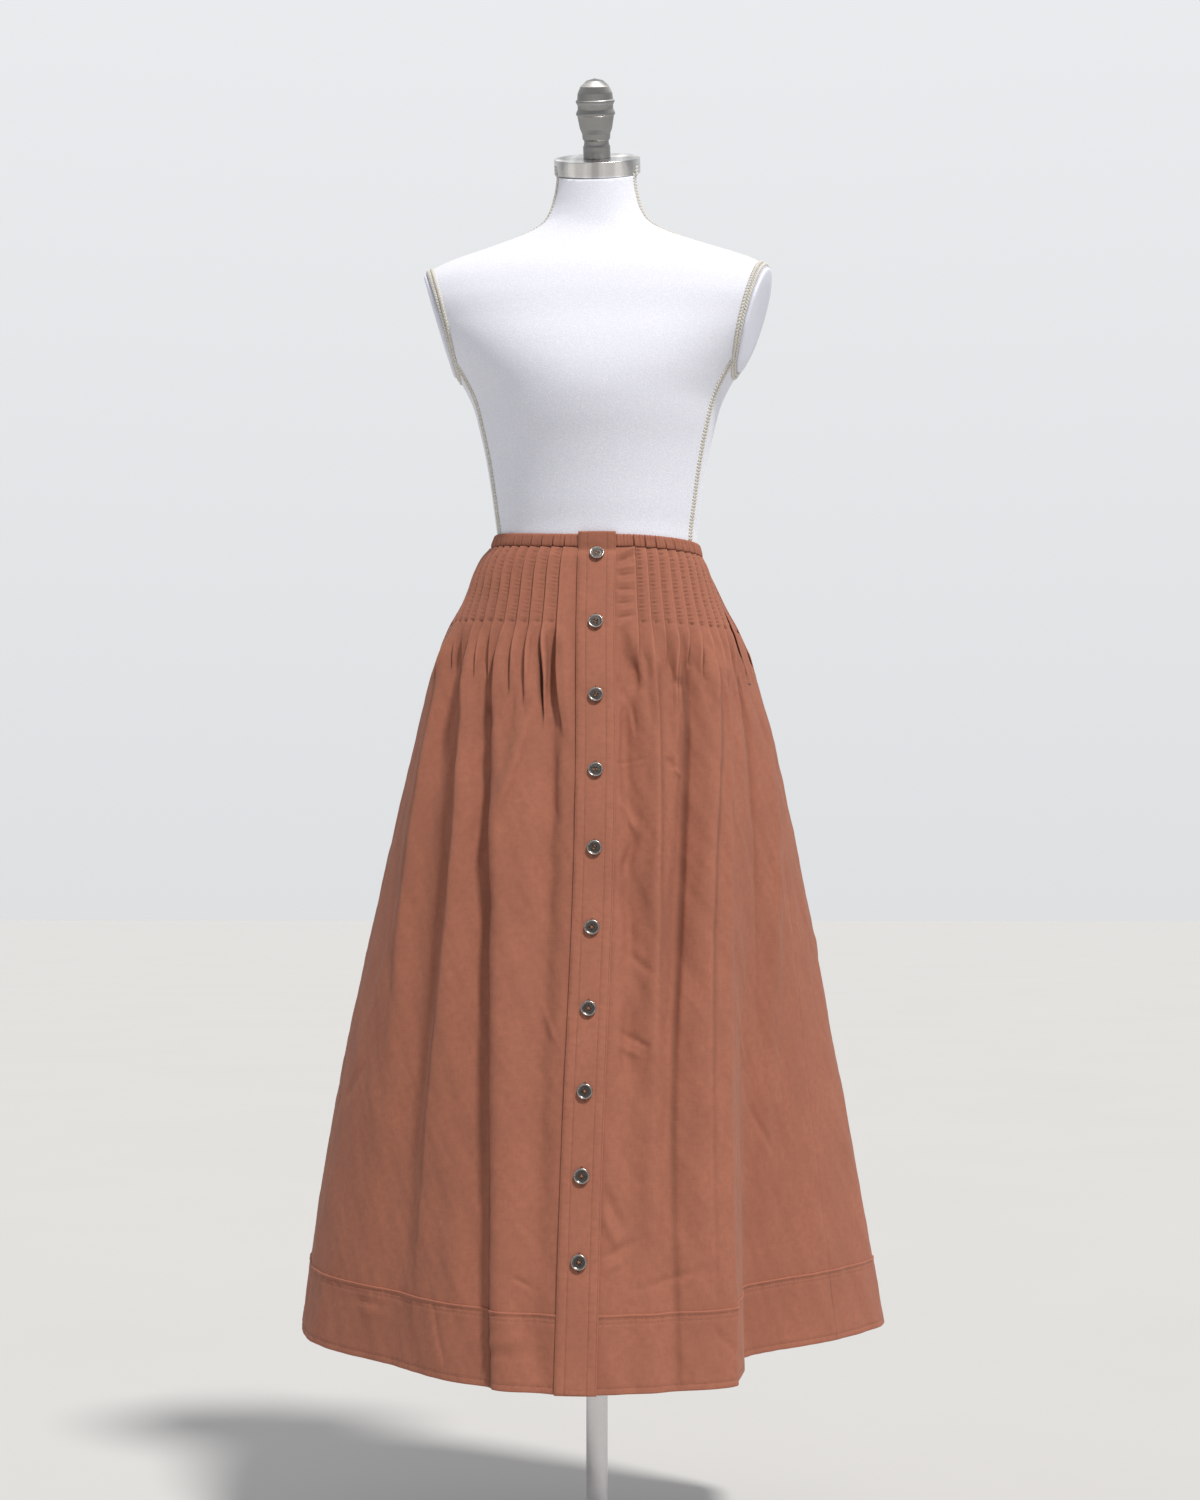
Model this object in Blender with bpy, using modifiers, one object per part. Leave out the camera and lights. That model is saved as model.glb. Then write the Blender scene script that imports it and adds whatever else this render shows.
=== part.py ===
"""Midi skirt with a button front, tucked waist and hem band, on a dress form.

Metres, +Z up, the front faces -Y. The origin is on the floor under the pole.
Cloth is worked out on a rolled-out skirt: q is the angle round the skirt in
degrees (0 at the front, + to the wearer's left) and z is the height.
"""
import math

import bmesh
import bpy
import numpy as np
from mathutils import Matrix, Vector

# Cloth sizes
WALL = 0.0015
SEAM = 0.0003
WAIST_TOP = 1.1500
BAND_LOW = 1.1355
TUCK_END = 1.0480
HEM_SEAM = 0.3330
HEM_LOW = 0.2580
HEM_LIFT = 0.0100
WAIST_RISE = 0.0125
SIDE_SEAM = 77.0
TUCK_STEP = 0.0020
TUCK_NIP = 0.00035
TUCK_WAVE = 0.0034
WAIST_SPREAD = 0.20
PLACKET_WIDTH = 0.0420
PLACKET_TUCK_UNDER = 0.0030
PLACKET_WALL = 0.0018
PLACKET_RISE = 0.0025
BUTTON_COUNT = 10
BUTTON_PITCH = 0.0848
BUTTON_FIRST = 1.1255
BUTTON_RADIUS = 0.0080
POCKET_MIDDLE = 1.0400
POCKET_HALF = 0.0520
POCKET_MOUTH = 4.5
POCKET_DROP = 0.0020
POCKET_ROWS = (1.094, 1.052, 1.044, 1.022, 0.985, 0.930, 0.868)
POCKET_COLUMNS = 7

# Dress form sizes
NECK_TILT = 25.0
CAP_RADIUS = 0.0502
CAP_HEIGHT = 0.0180
CAP_TOP = 1.6080
ARM_PLANE_X = 0.1830
ARM_CUT_FROM = 1.3110
ARM_FORWARD = 5.0
ARM_DOWN = 17.0
ARM_PLATE = 0.0040
TORSO_LOW = 0.8950
POLE_RADIUS = 0.0120
HUB_RADIUS = 0.0450
HUB_HEIGHT = 0.0120
BASE_RADIUS = 0.1900
BASE_HEIGHT = 0.0100


def table(names, rows):
    names = names.split()
    return {name: np.array([row[i] for row in rows]) for i, name in enumerate(names)}


# Skirt sections: height, half widths to each side, depth to front and back
SKIRT = table("z left right front back", [
    (1.152, 0.1205, 0.1200, 0.1000, 0.0920),
    (1.136, 0.1210, 0.1205, 0.1000, 0.0920),
    (1.124, 0.1310, 0.1265, 0.1060, 0.0985),
    (1.108, 0.1400, 0.1330, 0.1120, 0.1050),
    (1.078, 0.1520, 0.1460, 0.1230, 0.1160),
    (1.045, 0.1680, 0.1630, 0.1350, 0.1290),
    (1.000, 0.1850, 0.1780, 0.1485, 0.1450),
    (0.930, 0.2045, 0.2000, 0.1670, 0.1660),
    (0.860, 0.2220, 0.2160, 0.1860, 0.1850),
    (0.750, 0.2460, 0.2385, 0.2080, 0.2080),
    (0.600, 0.2775, 0.2660, 0.2400, 0.2400),
    (0.450, 0.3040, 0.2920, 0.2660, 0.2660),
    (0.340, 0.3200, 0.3100, 0.2860, 0.2860),
    (0.250, 0.3310, 0.3240, 0.3010, 0.3000)])

# Middle line of the button strips, as an angle at each height
CENTRE = table("z q", [(1.15, 3.2), (1.07, 3.2), (0.87, 3.4), (0.46, 1.0), (0.25, 0.35)])

# Tucks: first line, step to the next line, count. The step points to the side seam
TUCKS = table("start step count", [
    (-11.4, -5.53, 11), (19.5, 5.50, 10), (167.2, -7.20, 12), (-167.2, 7.20, 12)])

# Folds under the tucks: angle and depth at four heights, then the half width in degrees
# before and after the middle line. A ridge is plus, a valley is minus
FOLD_HEIGHTS = (1.00, 0.80, 0.55, 0.25)
FOLDS = table("q1 q2 q3 q4 d1 d2 d3 d4 before after", [
    (-35, -27.5, -21.5, -17, -0.006, -0.013, -0.012, -0.007, 6.0, 2.2),
    (-30, -22.5, -17.0, -13, 0.003, 0.005, 0.005, 0.003, 2.5, 5.0),
    (-44, -44, -42, -42, 0.000, -0.006, -0.020, -0.034, 20, 21),
    (-46, -37.0, -35.5, -35, 0.005, 0.008, 0.006, 0.000, 3.0, 4.5),
    (-51, -43.5, -41.5, -41, -0.007, -0.010, -0.006, 0.000, 6.0, 3.0),
    (-64, -57.5, -52.0, -50, 0.007, 0.008, 0.003, 0.000, 6.0, 3.5),
    (-57, -51.0, -46.0, -45, -0.006, -0.005, 0.000, 0.000, 3.0, 3.5),
    (-16, -26.0, -31.0, -31, 0.003, 0.004, 0.000, 0.000, 3.0, 3.0),
    (-12, -8.8, -8.2, -7, -0.008, -0.008, -0.006, -0.003, 4.0, 2.6),
    (13.5, 13.0, 11.5, 10, -0.007, -0.010, -0.007, -0.003, 2.6, 4.5),
    (25.5, 20.5, 16.5, 15, 0.004, 0.005, 0.003, 0.000, 2.4, 2.4),
    (30, 24.0, 20.0, 18, -0.007, -0.004, 0.000, 0.000, 3.0, 3.0),
    (37.5, 28.2, 20.5, 18, -0.009, -0.014, -0.011, -0.005, 3.0, 4.5),
    (47.5, 36.0, 28.5, 25, 0.008, 0.008, 0.006, 0.002, 4.0, 3.0),
    (54.5, 43.0, 35.0, 30, 0.006, 0.008, 0.009, 0.011, 4.0, 2.4),
    (62, 56.0, 51.0, 48, -0.002, -0.018, -0.058, -0.100, 13, 35),
    (66, 59.0, 56.0, 55, -0.006, -0.005, 0.000, 0.000, 3.0, 4.0),
    (86, 72.0, 60.0, 56, 0.003, 0.005, 0.003, 0.000, 4.0, 4.0),
    (98, 97, 97, 98, 0.002, 0.005, 0.010, 0.016, 9, 9),
    (113, 116, 119, 121, -0.005, -0.014, -0.031, -0.046, 8, 11),
    (128, 133, 137, 140, 0.005, 0.009, 0.012, 0.014, 5, 7),
    (144, 148, 151, 153, -0.006, -0.012, -0.022, -0.034, 5, 8),
    (161, 164, 167, 170, 0.005, 0.008, 0.010, 0.012, 5, 5),
    (176, 178, 180, 182, -0.005, -0.010, -0.018, -0.026, 6, 7),
    (196, 195, 193, 192, 0.005, 0.007, 0.009, 0.009, 4, 6),
    (211, 209, 207, 206, -0.006, -0.012, -0.024, -0.038, 9, 6),
    (229, 226, 223, 221, 0.005, 0.010, 0.014, 0.018, 7, 5),
    (243, 241, 240, 239, -0.005, -0.012, -0.026, -0.040, 11, 7),
    (262, 262, 262, 262, 0.003, 0.006, 0.010, 0.012, 8, 9)])

PANEL_ROWS = (BAND_LOW - SEAM, 1.122, 1.094, 1.052, 1.044, 1.022, 0.985, 0.930, 0.868, 0.800,
              0.730, 0.650, 0.560, 0.470, 0.400, HEM_SEAM + SEAM)
HEM_ROWS = (HEM_SEAM, HEM_SEAM - 0.009, HEM_SEAM - 0.014, HEM_LOW)
HEM_RAISE = (0.0009, 0.0009, 0.0004, 0.0004)
STRIP_ROWS = (WAIST_TOP + PLACKET_RISE, BAND_LOW, 1.122, 1.094, 1.052, 1.044, 1.022, 0.985,
              0.930, 0.868, 0.800, 0.730, 0.650, 0.560, 0.470, 0.400, 0.333, HEM_LOW - 0.001)

# Torso sections: height, half width, front, back, squareness
TORSO = table("z side front back power", [
    (0.895, 0.1480, 0.1100, 0.1060, 2.1),
    (0.903, 0.1560, 0.1170, 0.1130, 2.1),
    (0.945, 0.1620, 0.1230, 0.1190, 2.1),
    (1.000, 0.1580, 0.1210, 0.1160, 2.1),
    (1.050, 0.1430, 0.1120, 0.1060, 2.1),
    (1.095, 0.1250, 0.1010, 0.0940, 2.0),
    (1.122, 0.1165, 0.0965, 0.0885, 2.0),
    (1.136, 0.1151, 0.0957, 0.0877, 2.0),
    (1.166, 0.1152, 0.0960, 0.0880, 2.0),
    (1.183, 0.1175, 0.0985, 0.0900, 2.0),
    (1.217, 0.1222, 0.1035, 0.0935, 2.0),
    (1.252, 0.1280, 0.1110, 0.0980, 2.0),
    (1.287, 0.1358, 0.1205, 0.1030, 2.0),
    (1.312, 0.1425, 0.1250, 0.1065, 2.0),
    (1.338, 0.1545, 0.1245, 0.1090, 2.1),
    (1.368, 0.1740, 0.1180, 0.1100, 2.2),
    (1.400, 0.2000, 0.1070, 0.1080, 2.2),
    (1.435, 0.2180, 0.0960, 0.1020, 2.2),
    (1.462, 0.2120, 0.0840, 0.0930, 2.1),
    (1.481, 0.1830, 0.0710, 0.0830, 2.0),
    (1.499, 0.1300, 0.0590, 0.0720, 2.0),
    (1.513, 0.0900, 0.0520, 0.0640, 2.0),
    (1.525, 0.0665, 0.0490, 0.0600, 2.0),
    (1.540, 0.0550, 0.0470, 0.0560, 2.0),
    (1.558, 0.0492, 0.0460, 0.0530, 2.0),
    (1.645, 0.0485, 0.0470, 0.0520, 2.0)])
TORSO_SEGMENTS = 36

# Finial outline from the cap up: height, radius
FINIAL = table("h r", [
    (0.0000, 0.0158), (0.0125, 0.0158), (0.0150, 0.0146), (0.0190, 0.0142),
    (0.0212, 0.0160), (0.0272, 0.0164), (0.0330, 0.0188), (0.0420, 0.0204),
    (0.0470, 0.0212), (0.0485, 0.0226), (0.0505, 0.0226), (0.0545, 0.0206),
    (0.0590, 0.0206), (0.0625, 0.0226), (0.0645, 0.0222), (0.0652, 0.0208),
    (0.0725, 0.0200), (0.0800, 0.0165), (0.0862, 0.0095), (0.0885, 0.0)])

# Button outline: radius share, height from the strip
BUTTON = table("r h", [
    (0.0, 0.0), (0.86, 0.0), (1.0, 0.0009), (1.0, 0.0022), (0.90, 0.0030),
    (0.76, 0.0026), (0.66, 0.0017), (0.0, 0.0014)])

COLOURS = {
    "cloth": ((0.330, 0.126, 0.080), 0.85, 0.0), "cloth_strip": ((0.335, 0.132, 0.084), 0.85, 0.0),
    "pocket": ((0.230, 0.085, 0.055), 0.9, 0.0), "button": ((0.20, 0.19, 0.18), 0.35, 0.8),
    "form": ((0.86, 0.86, 0.89), 0.8, 0.0), "plate": ((0.84, 0.85, 0.90), 0.6, 0.0),
    "steel": ((0.48, 0.47, 0.46), 0.3, 1.0), "pole": ((0.52, 0.52, 0.53), 0.3, 1.0)}


def along(x, knots, values):
    """Smooth curve through a short table, flat past its ends."""
    knots, values = np.asarray(knots, float), np.asarray(values, float)
    order = np.argsort(knots)
    knots, values = knots[order], values[order]
    slopes = np.gradient(values, knots)
    x = np.clip(np.asarray(x, float), knots[0], knots[-1])
    i = np.clip(np.searchsorted(knots, x) - 1, 0, len(knots) - 2)
    width = knots[i + 1] - knots[i]
    t = (x - knots[i]) / width
    return ((2 * t ** 3 - 3 * t ** 2 + 1) * values[i] + (t ** 3 - 2 * t ** 2 + t) * width * slopes[i]
            + (3 * t ** 2 - 2 * t ** 3) * values[i + 1] + (t ** 3 - t ** 2) * width * slopes[i + 1])


def step(x, low, high):
    t = np.clip((x - low) / (high - low), 0.0, 1.0)
    return t * t * (3 - 2 * t)


def wrap(q):
    return (np.asarray(q, float) + 180.0) % 360.0 - 180.0


def spread(q, z):
    """Angle on the body for a place q on the cloth. Lines fan out above the tuck ends."""
    q = wrap(q)
    seam = SIDE_SEAM * (1 + WAIST_SPREAD * np.clip((z - TUCK_END) / (BAND_LOW - TUCK_END), 0, 1))
    front = q * seam / SIDE_SEAM
    back = np.sign(q) * (180 - (180 - np.abs(q)) * (180 - seam) / (180 - SIDE_SEAM))
    return np.radians(np.where(np.abs(q) <= SIDE_SEAM, front, back))


def tuck_place(q):
    """Tuck number at q as a running number. It is whole on each tuck line."""
    q = wrap(q)
    zone = np.where(q < -SIDE_SEAM, 3, np.where(q < 3.3, 0, np.where(q <= SIDE_SEAM, 1, 2)))
    u = (q - TUCKS["start"][zone]) / TUCKS["step"][zone]
    return u, TUCKS["count"][zone], zone


def tuck_rise(q, z):
    """Raised edge of each stitched tuck: it climbs to its edge and drops to the next one."""
    u, count, _ = tuck_place(q)
    rise = np.where(u < 0, np.clip(1 + u / 1.2, 0, 1), np.where(u > count - 1, 0, u - np.floor(u)))
    return TUCK_STEP * rise * step(z, TUCK_END - 0.006, TUCK_END)


def tuck_wave(q, z):
    """Soft waves where the tucks let go."""
    u, count, zone = tuck_place(q)
    k = np.floor(u)
    size = 1 + 0.35 * np.sin(2.4 * k + 1.7 * zone)
    inside = step(u, -1.0, 0.0) * (1 - step(u, count - 0.5, count + 0.5))
    height = (1 - step(z, 1.030, TUCK_END)) * step(z, 0.885, 1.010)
    return TUCK_WAVE * size * inside * height * (0.5 - 0.5 * np.cos(2 * np.pi * (u - 0.25)))


def fold_depth(q, z):
    total = np.zeros(np.broadcast(q, z).shape)
    heights = np.array(FOLD_HEIGHTS)
    fade = 1 - step(z, 0.995, TUCK_END - 0.004)
    for i in range(len(FOLDS["q1"])):
        middle = along(z, heights, [FOLDS[c][i] for c in ("q1", "q2", "q3", "q4")])
        depth = along(z, heights, [FOLDS[c][i] for c in ("d1", "d2", "d3", "d4")])
        away = wrap(q - middle)
        width = np.where(away < 0, FOLDS["before"][i], FOLDS["after"][i])
        total = total + depth * np.exp(-(away / width) ** 2)
    stiff = np.exp(-(wrap(q - centre(z)) / (1.2 * degrees_for(PLACKET_WIDTH / 2, z))) ** 6)
    return total * fade * (1 - 0.85 * stiff)


def waist_rise(s, z):
    """The waist rides up on the wearer's right side."""
    return WAIST_RISE * np.minimum(s, 0) ** 2 * step(z, 0.80, 1.03)


def smooth_skirt(q, z, waves=1.0):
    """Outer face of the cloth without the tuck edges."""
    q, z = np.broadcast_arrays(np.asarray(q, float), np.asarray(z, float))
    angle = spread(q, z)
    s, c = np.sin(angle), np.cos(angle)
    a = np.where(s < 0, along(z, SKIRT["z"], SKIRT["left"]), along(z, SKIRT["z"], SKIRT["right"]))
    b = np.where(c > 0, along(z, SKIRT["z"], SKIRT["front"]), along(z, SKIRT["z"], SKIRT["back"]))
    x, y = a * s, -b * c
    nx, ny = s / a, -c / b
    size = np.hypot(nx, ny)
    out = fold_depth(q, z) + waves * tuck_wave(q, z)
    lift = HEM_LIFT * s ** 2 * (WAIST_TOP - z) / (WAIST_TOP - HEM_LOW)
    lift = lift + waist_rise(s, z)
    return np.stack([x + out * nx / size, y + out * ny / size, z + lift], axis=-1)


def cloth(q, z, out=0.0, waves=1.0):
    """Point on the cloth, moved out along its own normal."""
    q, z = np.broadcast_arrays(np.asarray(q, float), np.asarray(z, float))
    point = smooth_skirt(q, z, waves)
    round_it = smooth_skirt(q + 0.4, z, waves) - smooth_skirt(q - 0.4, z, waves)
    down = smooth_skirt(q, z - 0.003, waves) - smooth_skirt(q, z + 0.003, waves)
    normal = np.cross(down, round_it)
    normal /= np.linalg.norm(normal, axis=-1, keepdims=True)
    return point + normal * np.asarray(out)[..., None]


def centre(z):
    return along(np.minimum(z, BAND_LOW), CENTRE["z"], CENTRE["q"])


def degrees_for(length, z):
    """Cloth angle that spans a length at the front of the skirt."""
    z = np.minimum(z, BAND_LOW)
    half = along(z, SKIRT["z"], (SKIRT["left"] + SKIRT["right"]) / 2)
    fan = spread(1.0, z) / math.radians(1.0)
    return np.degrees(length / half) / fan


def material(name):
    made = bpy.data.materials.new(name)
    made.use_nodes = True
    shader = made.node_tree.nodes["Principled BSDF"]
    colour, rough, metal = COLOURS[name]
    shader.inputs["Base Color"].default_value = (*colour, 1)
    shader.inputs["Roughness"].default_value = rough
    shader.inputs["Metallic"].default_value = metal
    made.diffuse_color = (*colour, 1)
    return made


def finish_object(name, mesh, look, home):
    thing = bpy.data.objects.new(name, mesh)
    home.objects.link(thing)
    mesh.materials.append(LOOKS[look])
    return thing


def closed(name, points, faces, look, home):
    """Closed solid from points and faces, with its faces turned out."""
    mesh = bpy.data.meshes.new(name)
    shape = bmesh.new()
    verts = [shape.verts.new(p) for p in points]
    for face in faces:
        shape.faces.new([verts[i] for i in face])
    bmesh.ops.recalc_face_normals(shape, faces=shape.faces)
    shape.to_mesh(mesh)
    shape.free()
    return finish_object(name, mesh, look, home)


def wall(name, outer, inner, look, home):
    """Cloth wall between two grids of the same size, split the same way on both faces."""
    rows, cols = outer.shape[:2]
    points = np.concatenate([outer.reshape(-1, 3), inner.reshape(-1, 3)])
    n = rows * cols
    falling = np.linalg.norm(outer[:-1, :-1] - outer[1:, 1:], axis=-1)
    rising = np.linalg.norm(outer[:-1, 1:] - outer[1:, :-1], axis=-1)
    faces = []
    for r in range(rows - 1):
        for c in range(cols - 1):
            a, b, d, e = r * cols + c, r * cols + c + 1, (r + 1) * cols + c + 1, (r + 1) * cols + c
            halves = ((a, b, d), (a, d, e)) if falling[r, c] <= rising[r, c] else ((a, b, e), (b, d, e))
            for half in halves:
                faces += [half, tuple(n + i for i in reversed(half))]
    rim = [c for c in range(cols)] + [r * cols + cols - 1 for r in range(1, rows)]
    rim += [(rows - 1) * cols + c for c in range(cols - 2, -1, -1)]
    rim += [r * cols for r in range(rows - 2, 0, -1)]
    for a, b in zip(rim, rim[1:] + rim[:1]):
        faces.append((b, a, n + a, n + b))
    return closed(name, [tuple(p) for p in points], faces, look, home)


def lines_of(zone):
    return [TUCKS["start"][zone] + k * TUCKS["step"][zone] for k in range(int(TUCKS["count"][zone]))]


def pair_shift(z, zone):
    """How far the two columns of a tuck stand from its line, in degrees."""
    nip = math.degrees(TUCK_NIP / along(z, SKIRT["z"], SKIRT["front"]))
    quarter = 0.25 * abs(TUCKS["step"][zone])
    return nip + (quarter - nip) * float(1 - step(z, 1.012, TUCK_END - 0.002))


def half_columns(z, zone, edge, seam):
    """Column angles of one tucked half, from its middle edge to its side seam."""
    sign = np.sign(TUCKS["step"][zone])
    lines = lines_of(zone)
    shift = pair_shift(z, zone)
    first = lines[0] - sign * shift
    cols = [edge + t * (first - edge) for t in (0.0, 0.36, 0.70)]
    for line in lines:
        cols += [line - sign * shift, line + sign * shift]
    cols += [cols[-1] + 0.5 * (seam - cols[-1]), seam]
    return cols


def pocket_gap(z):
    return POCKET_MOUTH * step(1 - np.abs(z - POCKET_MIDDLE) / POCKET_HALF, 0.0, 0.7)


def seam_gap(z):
    return math.degrees(0.5 * SEAM / float(along(z, SKIRT["z"], SKIRT["front"])))


def strip_edges(z):
    """Angles of the two edges of the placket at a height."""
    half = degrees_for(PLACKET_WIDTH / 2, z)
    return centre(z) - half, centre(z) + half


def panel_angles(z, side):
    """Columns of a front panel. Side -1 is the wearer's right, +1 the wearer's left."""
    under = degrees_for(PLACKET_TUCK_UNDER, z)
    low, high = strip_edges(z)
    edge = low + under if side < 0 else high - under
    seam = side * (SIDE_SEAM - seam_gap(z) - float(pocket_gap(z)))
    return half_columns(z, 0 if side < 0 else 1, float(edge), seam)


def back_angles(z):
    seam = SIDE_SEAM + seam_gap(z)
    one = half_columns(z, 2, 180.0, seam)
    other = half_columns(z, 3, -180.0, -seam)
    return [q for q in reversed(one)] + [q + 360 for q in other[1:]]


def panel(name, angles, rows, home):
    """Tucked panel: the tuck edges are raised in its outer points over a plain inside."""
    z = np.array(rows)[:, None]
    q = np.array([angles(r) for r in rows])
    z = np.broadcast_to(z, q.shape)
    return wall(name, cloth(q, z, tuck_rise(q, z)), cloth(q, z, -WALL), "cloth", home)


def band_columns(cols_of):
    """Waistband columns: one in each dip and one on each ripple."""
    cols = cols_of(BAND_LOW)
    made = [cols[0], cols[1]]
    inner = cols[3:-2]
    for k in range(0, len(inner) - 1, 2):
        line = 0.5 * (inner[k] + inner[k + 1])
        if k:
            made.append(0.5 * (made[-1] + line))
        made.append(line)
    return made + [cols[-2], cols[-1]]


def band_height(count):
    """Ripple of the waistband along its columns, a dip on every second one."""
    return np.array([0.0003 + 0.0012 * (k % 2) for k in range(count)])


def waistband(name, cols, home):
    rows = np.array([BAND_LOW, BAND_LOW + 0.003, WAIST_TOP - 0.003, WAIST_TOP])
    q, z = np.meshgrid(np.array(cols), rows)
    ripple = band_height(len(cols))[None, :] * np.array([0.5, 1.0, 1.0, 0.5])[:, None]
    bulge = np.array([0.0004, 0.0013, 0.0011, 0.0])[:, None]
    outer = band_base(q, z, 0.0020 + ripple + bulge)
    return wall(name, outer, band_base(q, z, 0.0), "cloth", home)


def band_base(q, z, out):
    """Waistband points, measured out from the form's waist."""
    angle = spread(q, np.full_like(z, BAND_LOW))
    s, c = np.sin(angle), np.cos(angle)
    side, deep = 0.1151 + 0.0005, np.where(c > 0, 0.0957, 0.0877) + 0.0005
    nx, ny = s / side, -c / deep
    size = np.hypot(nx, ny)
    x, y = side * s + out * nx / size, -deep * c + out * ny / size
    return np.stack([x, y, z + waist_rise(s, z)], axis=-1)


def front_edges(z, side):
    low, high = strip_edges(z)
    under = degrees_for(PLACKET_TUCK_UNDER, z)
    return float(low + under) if side < 0 else float(high - under)


def hem_band(name, angles, home):
    rows = np.array(HEM_ROWS)
    q = np.array([angles(r) for r in rows])
    z = np.broadcast_to(rows[:, None], q.shape)
    raise_it = np.broadcast_to(np.array(HEM_RAISE)[:, None], q.shape)
    return wall(name, cloth(q, z, raise_it), cloth(q, z, -WALL), "cloth", home)


def strip_point(q, z, out):
    """Strip points: they ride on the waistband at the top and on the panel lower down."""
    on_cloth = cloth(q, np.minimum(z, WAIST_TOP), out)
    on_cloth[..., 2] += np.maximum(z - WAIST_TOP, 0)
    on_band = band_base(q, z, 0.0036 + out)
    share = step(z, BAND_LOW - 0.012, BAND_LOW - 0.001)[..., None]
    return on_cloth * (1 - share) + on_band * share


def strip(name, low_edge, high_edge, shares, inner, outer, top, look, home):
    rows = np.array([min(r, top) for r in STRIP_ROWS])
    low = np.array([low_edge(r) for r in rows])[:, None]
    high = np.array([high_edge(r) for r in rows])[:, None]
    q = low + (high - low) * np.array(shares)[None, :]
    z = np.broadcast_to(rows[:, None], q.shape)
    return wall(name, strip_point(q, z, outer), strip_point(q, z, inner), look, home)


def strip_face(share, z, out):
    """Point on the flat faces of the placket. Share runs from 0 to 1 across it."""
    rows = np.array(STRIP_ROWS)
    i = int(np.clip(np.searchsorted(-rows, -z) - 1, 0, len(rows) - 2))
    ends = []
    for row in (rows[i], rows[i + 1]):
        low, high = strip_edges(row)
        ends.append(Vector(strip_point(np.array([low + share * (high - low)]), np.array([row]), out)[0]))
    return ends[0].lerp(ends[1], (rows[i] - z) / (rows[i] - rows[i + 1]))


def strip_frame(z):
    """Place and turn of a button on the placket at a height, clear of its face."""
    top, reach = SEAM + 0.0009 + PLACKET_WALL, BUTTON_RADIUS
    part = reach / PLACKET_WIDTH
    here = strip_face(0.5, z, top)
    x = (strip_face(0.5 + part, z, top) - strip_face(0.5 - part, z, top)).normalized()
    up = strip_face(0.5, z + reach, top) - strip_face(0.5, z - reach, top)
    y = (up - x * up.dot(x)).normalized()
    n = x.cross(y)
    spots = [(0, 0), (1, 0), (-1, 0), (0, 1), (0, -1), (0.7, 0.7), (0.7, -0.7), (-0.7, 0.7),
             (-0.7, -0.7), (0.3, 0.5), (-0.3, 0.5), (0.3, -0.5), (-0.3, -0.5), (0, 0.3), (0, -0.3)]
    high = max(n.dot(strip_face(0.5 + part * s, z + reach * t, top) - here) for s, t in spots)
    turn = Matrix((x, y, n)).transposed().to_4x4()
    return Matrix.Translation(here + n * (high + SEAM)) @ turn


def button_heights():
    """Heights of the buttons, one pitch apart along the placket."""
    z = np.linspace(BUTTON_FIRST, HEM_LOW, 400)
    line = strip_point(centre(z), z, 0.0)
    walked = np.concatenate([[0.0], np.cumsum(np.linalg.norm(np.diff(line, axis=0), axis=1))])
    return [float(h) for h in np.interp(BUTTON_PITCH * np.arange(BUTTON_COUNT), walked, z)]


def turned(name, outline, steps, look, home, place=None):
    """Body turned about Z from an outline of (radius, height)."""
    mesh = bpy.data.meshes.new(name)
    area = sum(a[0] * b[1] - b[0] * a[1] for a, b in zip(outline, outline[1:] + outline[:1]))
    points = [(r, 0, h) for r, h in (outline if area < 0 else reversed(outline))]
    mesh.from_pydata(points, [(i, i + 1) for i in range(len(points) - 1)], [])
    thing = finish_object(name, mesh, look, home)
    screw = thing.modifiers.new("turn", "SCREW")
    screw.axis, screw.angle = "Z", 2 * math.pi
    screw.steps = screw.render_steps = steps
    screw.use_merge_vertices, screw.merge_threshold = True, 0.00001
    screw.use_smooth_shade = True
    if place is not None:
        thing.matrix_world = place
    return thing


def super_ring(z, side, front, back, power, count):
    """Rounded section of the torso at one height."""
    ring = []
    for k in range(count):
        angle = 2 * math.pi * (k + 0.5) / count
        s, c = math.sin(angle), math.cos(angle)
        x = side * math.copysign(abs(s) ** (2 / power), s)
        y = -(front if c > 0 else back) * math.copysign(abs(c) ** (2 / power), c)
        ring.append((x, y, z))
    return ring


def cut_flat(shape, point, normal, low=0.0):
    """Cut what lies above a height on a plane, and close it with one flat face."""
    faces = [f for f in shape.faces if min(v.co.z for v in f.verts) >= low]
    edges = {e for f in faces for e in f.edges}
    verts = {v for f in faces for v in f.verts}
    made = bmesh.ops.bisect_plane(shape, geom=faces + list(edges) + list(verts), dist=1e-6,
                                  plane_co=point, plane_no=normal, clear_outer=True)
    rim = [e for e in made["geom_cut"] if isinstance(e, bmesh.types.BMEdge)]
    face = bmesh.ops.contextual_create(shape, geom=rim)["faces"][0]
    return [v.co.copy() for v in face.verts]


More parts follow.
